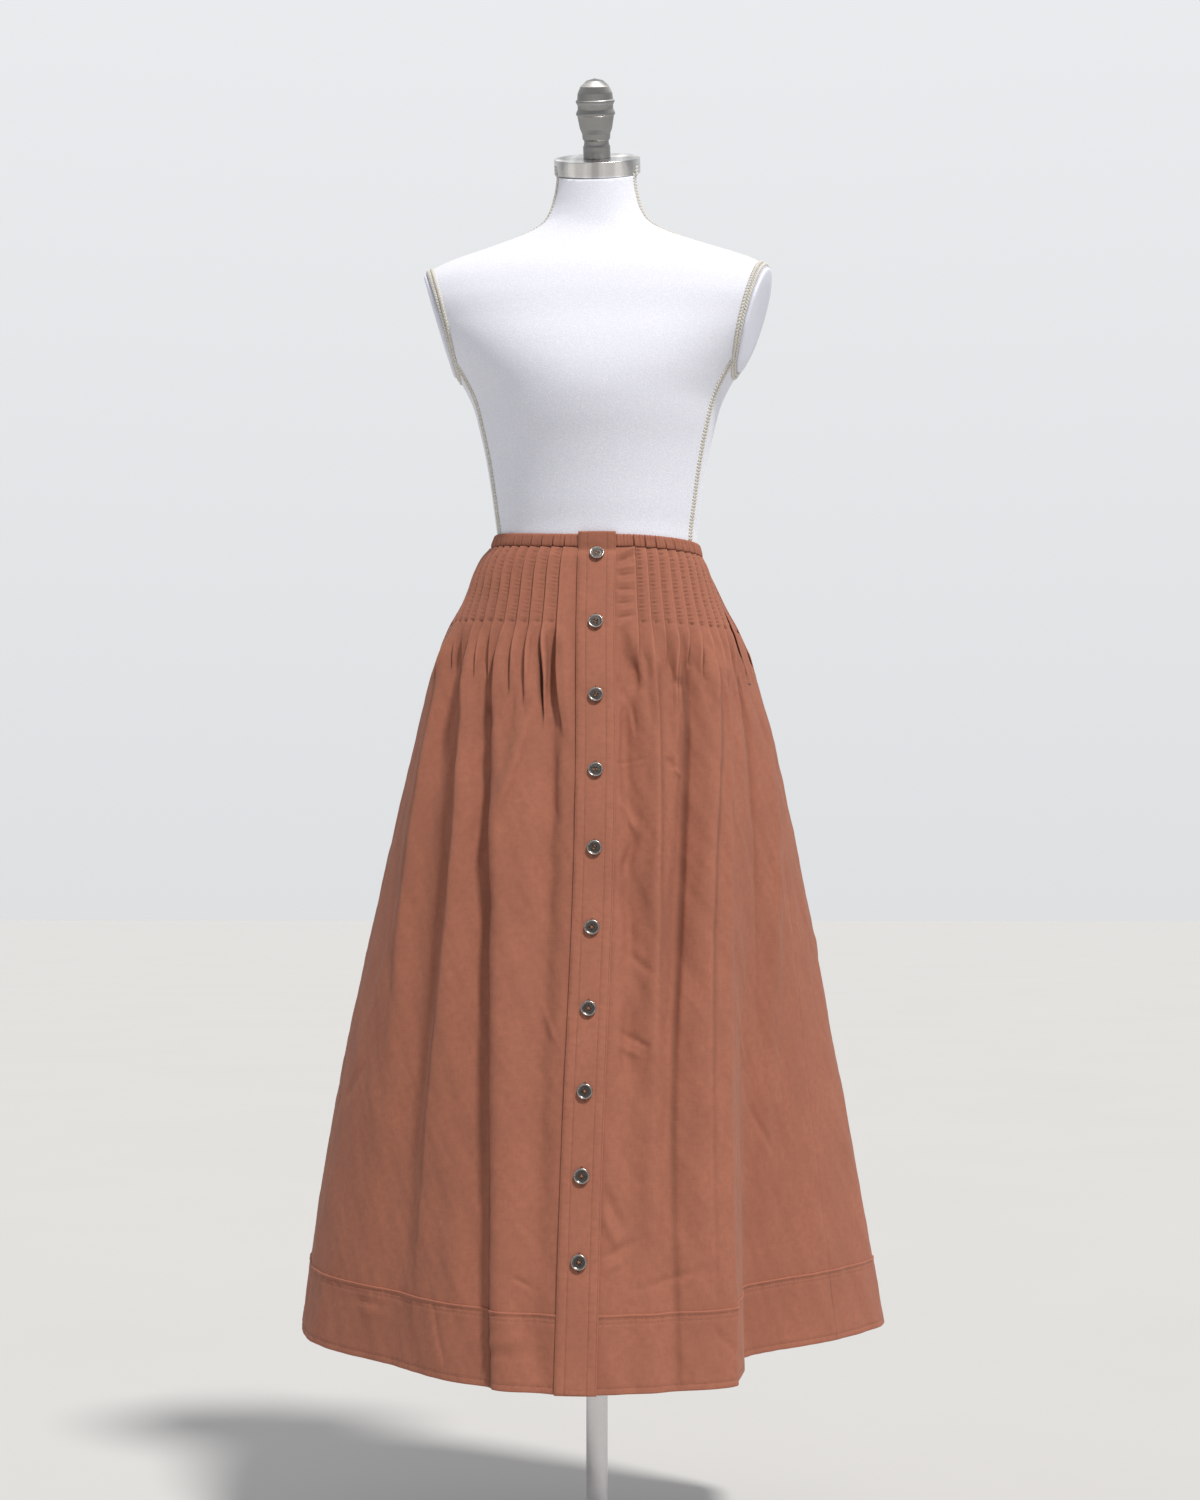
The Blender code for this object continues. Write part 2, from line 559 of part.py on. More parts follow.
def make_torso(home):
    shape = bmesh.new()
    rings = []
    for row in zip(*(TORSO[c] for c in ("z", "side", "front", "back", "power"))):
        rings.append([shape.verts.new(p) for p in super_ring(*row, TORSO_SEGMENTS)])
    for low, high in zip(rings, rings[1:]):
        for k in range(TORSO_SEGMENTS):
            j = (k + 1) % TORSO_SEGMENTS
            shape.faces.new((low[k], low[j], high[j], high[k]))
    shape.faces.new(list(reversed(rings[0])))
    shape.faces.new(rings[-1])
    bmesh.ops.recalc_face_normals(shape, faces=shape.faces)
    tilt = math.radians(NECK_TILT)
    up = Vector((0, -math.sin(tilt), math.cos(tilt)))
    cap_low = Vector((0, 0, CAP_TOP)) - up * CAP_HEIGHT
    cut_flat(shape, cap_low - up * SEAM, up)
    rims = []
    for side in (-1, 1):
        normal = arm_normal(side)
        point = Vector((side * ARM_PLANE_X, 0, 1.42))
        rims.append((normal, cut_flat(shape, point, normal, ARM_CUT_FROM)))
    bmesh.ops.recalc_face_normals(shape, faces=shape.faces)
    mesh = bpy.data.meshes.new("form_torso")
    shape.to_mesh(mesh)
    shape.free()
    finish_object("form_torso", mesh, "form", home)
    for name, (normal, rim) in zip(("arm_plate_right", "arm_plate_left"), rims):
        make_arm_plate(name, normal, rim, home)
    turn = Matrix.Rotation(tilt, 4, "X")
    place = Matrix.Translation(cap_low) @ turn
    edge, r, h = 0.0012, CAP_RADIUS, CAP_HEIGHT
    turned("neck_cap", [(0, 0), (r - edge, 0), (r, edge), (r, h - edge), (r - edge, h), (0, h)],
           40, "steel", home, place)
    profile = [(0, 0)] + list(zip(FINIAL["r"], FINIAL["h"]))
    place = Matrix.Translation(cap_low + up * (CAP_HEIGHT + SEAM)) @ turn
    turned("finial", profile, 20, "steel", home, place)


def arm_normal(side):
    forward, down = math.radians(ARM_FORWARD), math.radians(ARM_DOWN)
    return Vector((side * math.cos(forward) * math.cos(down),
                   -math.sin(forward) * math.cos(down), -math.sin(down)))


def make_arm_plate(name, normal, rim, home):
    """Flat plate on the arm cut, with its edge eased."""
    middle = sum(rim, Vector()) / len(rim)
    layers = ((SEAM, 0.965), (SEAM + ARM_PLATE * 0.7, 0.965), (SEAM + ARM_PLATE, 0.90))
    points = [tuple(middle + (p - middle) * share + normal * out)
              for out, share in layers for p in rim]
    n = len(rim)
    faces = [tuple(range(n)), tuple(2 * n + k for k in range(n))]
    for layer in (0, 1):
        for k in range(n):
            j = (k + 1) % n
            faces.append((layer * n + k, layer * n + j, (layer + 1) * n + j, (layer + 1) * n + k))
    return closed(name, points, faces, "plate", home)


def make_stand(home):
    top = TORSO_LOW - SEAM
    low = top - HUB_HEIGHT
    r = HUB_RADIUS
    turned("hub", [(0, low), (r - 0.002, low), (r, low + 0.002), (r, top), (0, top)], 28, "pole", home)
    collar_top = BASE_HEIGHT + 0.035
    turned("pole", [(0, BASE_HEIGHT + SEAM), (POLE_RADIUS, BASE_HEIGHT + SEAM),
                    (POLE_RADIUS, low - SEAM), (0, low - SEAM)], 28, "pole", home)
    inner, outer = POLE_RADIUS + SEAM, POLE_RADIUS + 0.012
    turned("base_collar", [(inner, BASE_HEIGHT + SEAM), (inner, collar_top),
                           (outer - 0.001, collar_top), (outer, BASE_HEIGHT + 0.008),
                           (outer + 0.006, BASE_HEIGHT + SEAM), (inner, BASE_HEIGHT + SEAM)],
           28, "pole", home)
    r = BASE_RADIUS
    turned("base_plate", [(0, 0), (r - 0.001, 0), (r, 0.001), (r, 0.005), (r - 0.004, 0.008),
                          (0.04, BASE_HEIGHT), (0, BASE_HEIGHT)], 48, "pole", home)


def make_pocket(name, side, home):
    """Pocket bag with its facing, flat and closed, hung behind the pocket mouth."""
    rows = np.array(POCKET_ROWS)
    q = []
    for row in rows:
        cols = panel_angles(row, side)[-POCKET_COLUMNS:]
        back = side * (SIDE_SEAM + seam_gap(row))
        q.append(cols + [back, back + side * 3.0])
    q = np.array(q)
    z = np.broadcast_to(rows[:, None], q.shape)
    first = WALL + POCKET_DROP
    return wall(name, cloth(q, z, -first, 0.0), cloth(q, z, -first - 0.0016, 0.0), "pocket", home)


def build():
    for thing in list(bpy.data.objects):
        bpy.data.objects.remove(thing)
    home = bpy.data.collections.new("midi_skirt_on_dress_form")
    bpy.context.scene.collection.children.link(home)
    for name in COLOURS:
        LOOKS[name] = material(name)
    right, left = (lambda z: panel_angles(z, -1)), (lambda z: panel_angles(z, 1))
    panel("front_panel_right", right, PANEL_ROWS, home)
    panel("front_panel_left", left, PANEL_ROWS, home)
    panel("back_panel", back_angles, PANEL_ROWS, home)
    waistband("waistband_front_right", band_columns(right), home)
    waistband("waistband_front_left", band_columns(left), home)
    waistband("waistband_back", back_band_columns(), home)
    hem_band("hem_band_front_right", right, home)
    hem_band("hem_band_front_left", left, home)
    hem_band("hem_band_back", back_angles, home)
    strip("placket", lambda z: float(strip_edges(z)[0]), lambda z: float(strip_edges(z)[1]),
          (0.0, 0.25, 0.5, 0.75, 1.0), SEAM + 0.0009, SEAM + 0.0009 + PLACKET_WALL,
          WAIST_TOP + PLACKET_RISE, "cloth_strip", home)
    gap = lambda z: float(degrees_for(SEAM, z))
    strip("button_stand", lambda z: front_edges(z, -1) + gap(z), lambda z: front_edges(z, 1) - gap(z),
          (0.0, 0.25, 0.5, 0.75, 1.0), -WALL, 0.0008, WAIST_TOP, "cloth_strip", home)
    make_pocket("pocket_bag_right", -1, home)
    make_pocket("pocket_bag_left", 1, home)
    outline = [(r * BUTTON_RADIUS, h) for r, h in zip(BUTTON["r"], BUTTON["h"])]
    for k, z in enumerate(button_heights()):
        turned("button_%02d" % (k + 1), outline, 16, "button", home, strip_frame(z))
    make_torso(home)
    make_stand(home)


def back_band_columns():
    cols = back_angles(BAND_LOW)
    half = len(cols) // 2
    one = band_columns(lambda z: list(reversed(cols[:half + 1])))
    other = band_columns(lambda z: cols[half:])
    return list(reversed(one)) + other[1:]


LOOKS = {}
build()
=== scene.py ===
"""Looks of a button-front midi skirt with stitched waist tucks, on a limbless dress form.

Metres, +Z up, the front faces -Y and +X is the wearer's left. Cloth is worked out on a
rolled-out skirt: q is the angle round it in degrees and z is the height, as in the part.
"""
import math

import bmesh
import bpy
import numpy as np
from mathutils import Matrix, Vector


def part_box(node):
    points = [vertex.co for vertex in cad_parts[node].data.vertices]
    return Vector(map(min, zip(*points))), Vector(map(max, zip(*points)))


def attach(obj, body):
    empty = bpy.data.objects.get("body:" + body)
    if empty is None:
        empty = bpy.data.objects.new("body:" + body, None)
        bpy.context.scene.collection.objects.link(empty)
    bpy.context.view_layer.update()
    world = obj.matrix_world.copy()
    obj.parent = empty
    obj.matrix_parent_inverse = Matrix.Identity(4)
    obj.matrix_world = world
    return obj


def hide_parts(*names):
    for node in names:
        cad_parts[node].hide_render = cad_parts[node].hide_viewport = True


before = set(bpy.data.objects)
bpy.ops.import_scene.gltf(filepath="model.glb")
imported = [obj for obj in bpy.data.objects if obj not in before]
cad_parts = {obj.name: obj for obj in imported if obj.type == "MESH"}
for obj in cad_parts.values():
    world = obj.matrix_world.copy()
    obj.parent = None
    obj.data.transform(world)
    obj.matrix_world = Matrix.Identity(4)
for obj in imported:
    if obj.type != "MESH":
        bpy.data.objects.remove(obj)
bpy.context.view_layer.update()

bl_info = {
    "name": "Midi skirt on a dress form",
    "version": (1, 0, 0),
    "blender": (4, 5, 0),
    "location": "View3D > Sidebar > Skirt",
    "description": "Builds the cloth, stitching, buttons and dress form round the packed part",
    "category": "Object",
}

# Cloth sizes, as in the part
WALL = 0.0015
SEAM = 0.0003
WAIST_TOP = 1.1500
BAND_LOW = 1.1355
TUCK_END = 1.0480
HEM_SEAM = 0.3330
HEM_LOW = 0.2580
HEM_LIFT = 0.0100
WAIST_RISE = 0.0125
SIDE_SEAM = 77.0
BACK_END = 360.0 - SIDE_SEAM
BAND_OUT = 0.0036
TUCK_WAVE = 0.0020
WAIST_SPREAD = 0.20
PLACKET_WIDTH = 0.0420
PLACKET_TUCK_UNDER = 0.0030
PLACKET_FACE = 0.0030
PLACKET_RISE = 0.0025
BUTTON_COUNT = 10
BUTTON_PITCH = 0.0848
BUTTON_FIRST = 1.1255
BUTTON_RADIUS = 0.0080
BUTTON_SUNK = 0.0015
POCKET_MIDDLE = 1.0400
POCKET_HALF = 0.0520
POCKET_MOUTH = 4.5
POCKET_DROP = 0.0020
POCKET_TOP = 1.0940
POCKET_FOOT = 0.8680

# Dress form sizes, as in the part
WAIST_SIDE = 0.1151
WAIST_FRONT = 0.0957
WAIST_BACK = 0.0877
WAIST_CLEAR = 0.0005
NECK_TILT = 25.0
CAP_RADIUS = 0.0502
CAP_HEIGHT = 0.0180
CAP_TOP = 1.6080
ARM_PLANE_X = 0.1830
ARM_MIDDLE_Z = 1.4200
ARM_CUT_FROM = 1.3110
ARM_FORWARD = 5.0
ARM_DOWN = 17.0
ARM_PLATE = 0.0040
TORSO_LOW = 0.8950
TORSO_TOP = 1.6450
BRAID_SIDE = 71.0
BRAID_SHOULDER = 87.0
BRAID_NECK = 75.0
BRAID_LIFT = 0.0003
POLE_RADIUS = 0.0120
HUB_RADIUS = 0.0450
HUB_HEIGHT = 0.0120
BASE_RADIUS = 0.1900
BASE_HEIGHT = 0.0100

# Camera of the photo
CAMERA_DISTANCE = 2.5
CAMERA_AZIMUTH = 4.5
CAMERA_HEIGHT = 0.752
CAMERA_PITCH = 3.77
CAMERA_LENS = 52.56
CAMERA_SHIFT = 0.002
CAMERA_SENSOR = 36.0

# Width on the flat cloth of one degree, for the weave of each kind of piece
PANEL_DEGREE = 0.0036
HEM_DEGREE = 0.0056
BAND_DEGREE = 0.0022
STRIP_DEGREE = 0.0034


def table(names, rows):
    """Columns of a small table, each under its own name."""
    names = names.split()
    return {name: np.array([row[i] for row in rows]) for i, name in enumerate(names)}


# Skirt sections: height, half widths to each side, depth to front and back
SKIRT = table("z left right front back", [
    (1.152, 0.1205, 0.1200, 0.1000, 0.0920),
    (1.136, 0.1210, 0.1205, 0.1000, 0.0920),
    (1.124, 0.1310, 0.1265, 0.1060, 0.0985),
    (1.108, 0.1400, 0.1330, 0.1120, 0.1050),
    (1.078, 0.1520, 0.1460, 0.1230, 0.1160),
    (1.045, 0.1680, 0.1630, 0.1350, 0.1290),
    (1.000, 0.1850, 0.1780, 0.1485, 0.1450),
    (0.930, 0.2045, 0.2000, 0.1670, 0.1660),
    (0.860, 0.2220, 0.2160, 0.1860, 0.1850),
    (0.750, 0.2460, 0.2385, 0.2080, 0.2080),
    (0.600, 0.2775, 0.2660, 0.2400, 0.2400),
    (0.450, 0.3040, 0.2920, 0.2660, 0.2660),
    (0.340, 0.3200, 0.3100, 0.2860, 0.2860),
    (0.250, 0.3310, 0.3240, 0.3010, 0.3000)])

# Middle line of the button strips, as an angle at each height
CENTRE = table("z q", [(1.15, 3.2), (1.07, 3.2), (0.87, 3.4), (0.46, 1.0), (0.25, 0.35)])

# Tucks: first line, step to the next line, count. The step points to the side seam
TUCKS = table("start step count", [
    (-11.4, -5.53, 11), (19.5, 5.50, 10), (167.2, -7.20, 12), (-167.2, 7.20, 12)])

# Folds under the tucks: angle and depth at four heights, then the half width in degrees
# before and after the middle line. A ridge is plus, a valley is minus
FOLD_HEIGHTS = (1.00, 0.80, 0.55, 0.25)
FOLDS = table("q1 q2 q3 q4 d1 d2 d3 d4 before after", [
    (-35, -27.5, -21.5, -17, -0.006, -0.013, -0.012, -0.007, 6.0, 2.2),
    (-30, -22.5, -17.0, -13, 0.003, 0.005, 0.005, 0.003, 2.5, 5.0),
    (-44, -44, -42, -42, 0.000, -0.006, -0.020, -0.034, 20, 21),
    (-46, -37.0, -35.5, -35, 0.005, 0.008, 0.006, 0.000, 3.0, 4.5),
    (-51, -43.5, -41.5, -41, -0.007, -0.010, -0.006, 0.000, 6.0, 3.0),
    (-64, -57.5, -52.0, -50, 0.007, 0.008, 0.003, 0.000, 6.0, 3.5),
    (-57, -51.0, -46.0, -45, -0.006, -0.005, 0.000, 0.000, 3.0, 3.5),
    (-16, -26.0, -31.0, -31, 0.003, 0.004, 0.000, 0.000, 3.0, 3.0),
    (-12, -8.8, -8.2, -7, -0.008, -0.008, -0.006, -0.003, 4.0, 2.6),
    (13.5, 13.0, 11.5, 10, -0.007, -0.010, -0.007, -0.003, 2.6, 4.5),
    (25.5, 20.5, 16.5, 15, 0.004, 0.005, 0.003, 0.000, 2.4, 2.4),
    (30, 24.0, 20.0, 18, -0.007, -0.004, 0.000, 0.000, 3.0, 3.0),
    (37.5, 28.2, 20.5, 18, -0.009, -0.014, -0.011, -0.005, 3.0, 4.5),
    (47.5, 36.0, 28.5, 25, 0.008, 0.008, 0.006, 0.002, 4.0, 3.0),
    (54.5, 43.0, 35.0, 30, 0.006, 0.008, 0.009, 0.011, 4.0, 2.4),
    (62, 56.0, 51.0, 48, -0.002, -0.018, -0.058, -0.100, 13, 35),
    (66, 59.0, 56.0, 55, -0.006, -0.005, 0.000, 0.000, 3.0, 4.0),
    (86, 72.0, 60.0, 56, 0.003, 0.005, 0.003, 0.000, 4.0, 4.0),
    (98, 97, 97, 98, 0.002, 0.005, 0.010, 0.016, 9, 9),
    (113, 116, 119, 121, -0.005, -0.014, -0.031, -0.046, 8, 11),
    (128, 133, 137, 140, 0.005, 0.009, 0.012, 0.014, 5, 7),
    (144, 148, 151, 153, -0.006, -0.012, -0.022, -0.034, 5, 8),
    (161, 164, 167, 170, 0.005, 0.008, 0.010, 0.012, 5, 5),
    (176, 178, 180, 182, -0.005, -0.010, -0.018, -0.026, 6, 7),
    (196, 195, 193, 192, 0.005, 0.007, 0.009, 0.009, 4, 6),
    (211, 209, 207, 206, -0.006, -0.012, -0.024, -0.038, 9, 6),
    (229, 226, 223, 221, 0.005, 0.010, 0.014, 0.018, 7, 5),
    (243, 241, 240, 239, -0.005, -0.012, -0.026, -0.040, 11, 7),
    (262, 262, 262, 262, 0.003, 0.006, 0.010, 0.012, 8, 9)])

# Sharp edges that run down the folds: angle and height of the step at the four heights, and
# the side of its shadow (1 is the wearer's right of the edge, -1 the wearer's left)
EDGES = table("q1 q2 q3 q4 d1 d2 d3 d4 shade", [
    (-32.5, -25.2, -19.2, -15.0, 0.0040, 0.0075, 0.0080, 0.0050, 1),
    (-46.0, -38.2, -36.4, -36.0, 0.0040, 0.0065, 0.0022, 0.0000, 1),
    (-63.0, -57.5, -53.0, -52.0, 0.0030, 0.0026, 0.0000, 0.0000, 1),
    (25.8, 20.8, 17.6, 16.0, 0.0028, 0.0022, 0.0000, 0.0000, -1),
    (38.4, 29.6, 22.0, 19.5, 0.0045, 0.0050, 0.0034, 0.0016, 1),
    (49.2, 36.6, 29.4, 26.0, 0.0022, 0.0030, 0.0018, 0.0000, -1),
    (55.4, 43.6, 35.8, 30.6, 0.0030, 0.0040, 0.0042, 0.0050, -1),
    (66.5, 59.5, 55.0, 54.0, 0.0026, 0.0018, 0.0000, 0.0000, -1),
    (116, 120, 124, 127, 0.0030, 0.0055, 0.0065, 0.0040, -1),
    (133, 137, 141, 144, 0.0030, 0.0040, 0.0020, 0.0000, 1),
    (149, 153, 156, 158, 0.0034, 0.0060, 0.0060, 0.0030, -1),
    (180, 182, 185, 187, 0.0030, 0.0050, 0.0055, 0.0040, 1),
    (206, 204, 201, 199, 0.0032, 0.0060, 0.0065, 0.0040, 1),
    (225, 222, 219, 217, 0.0030, 0.0040, 0.0018, 0.0000, -1),
    (238, 235, 233, 231, 0.0034, 0.0060, 0.0065, 0.0045, 1)])

# Sharp edges: width of the step, how far it dies away, and the size whose painted highlight and shade are at
# full strength
EDGE_STEP = 0.0026
EDGE_REACH = 0.0160
EDGE_FULL = 0.0060

# One stitched tuck seen from its end, in metres from its line: a flat top, a folded
# edge that hangs over, and the puckered foot of the next strip. The mark is a painted
# highlight on the fold and painted shade under it
TUCK_SECTION = table("along up mark", [
    (-0.0042, 0.0018, 0.0), (-0.0020, 0.0022, 0.0), (-0.0007, 0.0025, 0.7), (0.0002, 0.0024, 0.9),
    (0.0006, 0.0017, 0.2), (0.0001, 0.0010, -0.7), (-0.0010, 0.0004, -1.2), (-0.0012, -0.0004, -1.4),
    (-0.0002, -0.0009, -0.9), (0.0010, -0.0006, -0.3), (0.0026, -0.0001, 0.0), (0.0042, 0.0002, 0.0),
    (0.0058, 0.0009, 0.0)])
TUCK_EVEN = 4.0
TUCK_DRIFT_REACH = 0.13
TUCK_OPENING = 0.020
TUCK_PUCKER = 0.00062
# Strength of the painted shade on the puckered, stitched band beside each tuck line
TUCK_SEWN_SHADE = 0.24
TUCK_PINCH = 0.0022

# How each tuck lives on below its stitching, in each zone from the placket or the middle back
# to the side seam: how far it runs down, how deep it is there against the stitched part, and
# its drift in degrees a metre
TUCK_LIFE = [table("run deep drift", zone) for zone in (
    [(0.145, 2.3, 38), (0.140, 2.2, 34), (0.110, 1.7, 34), (0.100, 1.6, 36),
     (0.140, 1.9, 34), (0.095, 1.5, 40), (0.080, 1.3, 50), (0.125, 1.7, 70),
     (0.080, 1.3, 60), (0.070, 1.2, 50), (0.080, 1.3, 50)],
    [(0.050, 1.1, -20), (0.070, 1.2, -20), (0.060, 1.2, -30), (0.110, 1.6, -50),
     (0.060, 1.2, -60), (0.080, 1.3, -70), (0.110, 1.5, -80), (0.080, 1.4, -80),
     (0.090, 1.4, -60), (0.080, 1.3, -40)],
    [(0.070, 1.1, 10), (0.045, 0.9, 20), (0.090, 1.3, 20), (0.050, 0.8, 24),
     (0.065, 1.0, 30), (0.100, 1.4, 30), (0.040, 0.8, 30), (0.060, 1.0, 30),
     (0.080, 1.2, 30), (0.050, 0.9, 24), (0.060, 1.0, 20), (0.050, 0.9, 10)],
    [(0.060, 1.0, -10), (0.085, 1.2, -20), (0.045, 0.8, -20), (0.070, 1.0, -24),
     (0.095, 1.3, -30), (0.050, 0.9, -30), (0.065, 1.1, -30), (0.045, 0.8, -30),
     (0.085, 1.2, -30), (0.055, 0.9, -24), (0.070, 1.0, -20), (0.050, 0.9, -10)])]

# Small creases, listed one by one: two ends on the cloth, depth (ridge plus), half width. All are
# deepened by the same share
CREASE_DEEPER = 1.4
CREASES = table("q1 z1 q2 z2 deep wide", [
    (-12.6, 1.030, -10.0, 0.925, -0.0026, 0.0055), (-17.5, 0.940, -23.0, 0.840, 0.0036, 0.0070),
    (-34.6, 0.956, -30.3, 0.932, -0.0022, 0.0040), (-21.2, 1.015, -18.0, 0.950, 0.0012, 0.0030),
    (-26.2, 1.024, -24.2, 0.978, 0.0010, 0.0030), (16.9, 1.004, 16.4, 0.972, -0.0034, 0.0060),
    (15.2, 0.956, 15.9, 0.925, -0.0014, 0.0028), (10.5, 0.986, 12.6, 0.962, -0.0024, 0.0050),
    (12.8, 0.950, 12.2, 0.872, -0.0030, 0.0060), (10.2, 0.850, 14.8, 0.818, 0.0018, 0.0042),
    (14.6, 0.812, 10.8, 0.772, -0.0024, 0.0052), (11.5, 0.762, 12.4, 0.690, -0.0024, 0.0060),
    (11.6, 0.640, 10.6, 0.560, -0.0020, 0.0060), (-9.4, 0.900, -8.8, 0.830, -0.0024, 0.0060),
    (6.0, 0.452, 9.0, 0.415, -0.0022, 0.0046), (5.4, 0.430, 8.0, 0.398, 0.0018, 0.0040),
    (9.4, 0.890, 19.0, 0.896, -0.0007, 0.0016),
    (9.4, 0.887, 19.0, 0.893, 0.0005, 0.0016), (26.8, 1.016, 23.3, 0.890, -0.0030, 0.0065),
    (26.2, 0.897, 27.4, 0.886, -0.0014, 0.0040), (28.2, 0.884, 30.0, 0.877, 0.0016, 0.0022),
    (32.6, 0.985, 34.4, 0.975, -0.0026, 0.0070), (10.6, 1.124, 22.0, 1.136, 0.0016, 0.0028),
    (10.6, 1.116, 20.0, 1.126, -0.0016, 0.0026), (10.8, 1.108, 19.0, 1.112, 0.0010, 0.0026),
    (11.0, 1.101, 18.6, 1.103, -0.0010, 0.0020), (11.0, 1.092, 18.8, 1.094, 0.0007, 0.0030),
    (11.0, 1.085, 18.2, 1.085, -0.0010, 0.0020), (11.0, 1.077, 18.4, 1.078, 0.0006, 0.0026),
    (11.0, 1.069, 17.6, 1.070, -0.0009, 0.0018), (11.0, 1.060, 18.0, 1.062, 0.0007, 0.0030),
    (11.0, 1.052, 17.8, 1.055, -0.0011, 0.0020), (11.2, 1.040, 17.5, 1.050, 0.0009, 0.0034),
    (9.2, 0.612, 15.8, 0.594, -0.0012, 0.0030), (8.0, 0.600, 14.0, 0.585, 0.0010, 0.0034),
    (-54.5, 0.318, -45.8, 0.314, -0.0010, 0.0030), (-52.0, 0.308, -44.0, 0.306, 0.0008, 0.0030),
    (-11.7, 0.367, -8.2, 0.358, -0.0012, 0.0018), (-20.0, 0.300, -9.0, 0.308, 0.0009, 0.0040),
    (-18.0, 0.290, -6.0, 0.296, -0.0009, 0.0034), (-30.0, 0.330, -26.0, 0.270, -0.0008, 0.0030),
    (4.2, 0.386, 12.0, 0.404, -0.0012, 0.0034), (4.6, 0.374, 9.0, 0.384, 0.0010, 0.0030),
    (12.0, 0.357, 24.0, 0.372, -0.0009, 0.0034), (8.0, 0.440, 10.5, 0.500, -0.0010, 0.0040),
    (12.0, 0.690, 17.0, 0.670, -0.0010, 0.0040), (-9.0, 0.640, -5.0, 0.600, 0.0010, 0.0036),
    (-70.0, 0.520, -62.0, 0.560, -0.0012, 0.0050), (60.0, 0.470, 52.0, 0.520, -0.0010, 0.0050),
    (44.0, 0.620, 50.0, 0.570, 0.0010, 0.0040), (26.0, 0.315, 30.5, 0.290, -0.0012, 0.0030),
    (120.0, 0.930, 126.0, 0.870, -0.0022, 0.0050), (138.0, 0.960, 140.0, 0.900, 0.0020, 0.0046),
    (156.0, 0.970, 158.0, 0.890, -0.0026, 0.0055), (172.0, 0.950, 171.0, 0.880, 0.0018, 0.0044),
    (190.0, 0.990, 189.0, 0.900, -0.0026, 0.0055), (204.0, 0.955, 202.0, 0.880, 0.0020, 0.0046),
    (222.0, 0.975, 219.0, 0.900, -0.0024, 0.0050), (238.0, 0.930, 236.0, 0.860, 0.0018, 0.0050),
    (150.0, 0.316, 158.0, 0.308, -0.0010, 0.0030), (196.0, 0.300, 206.0, 0.312, 0.0010, 0.0034),
    (172.0, 0.372, 180.0, 0.360, -0.0012, 0.0026), (214.0, 0.380, 221.0, 0.392, 0.0010, 0.0030),
    (128.0, 0.600, 134.0, 0.580, -0.0012, 0.0040), (178.0, 0.620, 186.0, 0.600, 0.0011, 0.0040),
    (232.0, 0.560, 226.0, 0.520, -0.0012, 0.0042), (96.0, 0.700, 102.0, 0.660, 0.0012, 0.0045)])

# Crumple: waves round the whole skirt, length of one up and down, and height
SOFT_CRUMPLE = ((30, 0.160, 0.0013), (54, 0.080, 0.0008))
FINE_CRUMPLE = ((86, 0.026, 0.00022), (150, 0.013, 0.00008))
STRIP_CRUMPLE = ((20, 0.110, 0.0011), (46, 0.050, 0.0005))
POCKET_CRUMPLE = ((40, 0.090, 0.0009),)

# Torso sections: height, half width, front, back, squareness
TORSO = table("z side front back power", [
    (0.895, 0.1480, 0.1100, 0.1060, 2.1),
    (0.903, 0.1560, 0.1170, 0.1130, 2.1),
    (0.945, 0.1620, 0.1230, 0.1190, 2.1),
    (1.000, 0.1580, 0.1210, 0.1160, 2.1),
    (1.050, 0.1430, 0.1120, 0.1060, 2.1),
    (1.095, 0.1250, 0.1010, 0.0940, 2.0),
    (1.122, 0.1165, 0.0965, 0.0885, 2.0),
    (1.136, 0.1151, 0.0957, 0.0877, 2.0),
    (1.166, 0.1152, 0.0960, 0.0880, 2.0),
    (1.183, 0.1175, 0.0985, 0.0900, 2.0),
    (1.217, 0.1222, 0.1035, 0.0935, 2.0),
    (1.252, 0.1280, 0.1110, 0.0980, 2.0),
    (1.287, 0.1358, 0.1205, 0.1030, 2.0),
    (1.312, 0.1425, 0.1250, 0.1065, 2.0),
    (1.338, 0.1545, 0.1245, 0.1090, 2.1),
    (1.368, 0.1740, 0.1180, 0.1100, 2.2),
    (1.400, 0.2000, 0.1070, 0.1080, 2.2),
    (1.435, 0.2180, 0.0960, 0.1020, 2.2),
    (1.462, 0.2120, 0.0840, 0.0930, 2.1),
    (1.481, 0.1830, 0.0710, 0.0830, 2.0),
    (1.499, 0.1300, 0.0590, 0.0720, 2.0),
    (1.513, 0.0900, 0.0520, 0.0640, 2.0),
    (1.525, 0.0665, 0.0490, 0.0600, 2.0),
    (1.540, 0.0550, 0.0470, 0.0560, 2.0),
    (1.558, 0.0492, 0.0460, 0.0530, 2.0),
    (1.645, 0.0485, 0.0470, 0.0520, 2.0)])

# Finial outline from the cap up: height, radius
FINIAL = table("h r", [
    (0.0000, 0.0158), (0.0125, 0.0158), (0.0150, 0.0146), (0.0190, 0.0142),
    (0.0212, 0.0160), (0.0272, 0.0164), (0.0330, 0.0188), (0.0420, 0.0204),
    (0.0470, 0.0212), (0.0485, 0.0226), (0.0505, 0.0226), (0.0545, 0.0206),
    (0.0590, 0.0206), (0.0625, 0.0226), (0.0645, 0.0222), (0.0652, 0.0208),
    (0.0725, 0.0200), (0.0800, 0.0165), (0.0862, 0.0095), (0.0885, 0.0)])

# Button outline: radius share, height from the strip
BUTTON = table("r h", [
    (0.0, 0.0), (0.84, 0.0), (0.95, 0.0003), (1.0, 0.0009), (1.01, 0.0015), (1.0, 0.0022),
    (0.965, 0.0027), (0.92, 0.0029), (0.86, 0.0029), (0.81, 0.0026), (0.775, 0.0021),
    (0.75, 0.0016), (0.72, 0.0014), (0.66, 0.00135), (0.58, 0.0014), (0.50, 0.0015),
    (0.30, 0.0014), (0.0, 0.0013)])


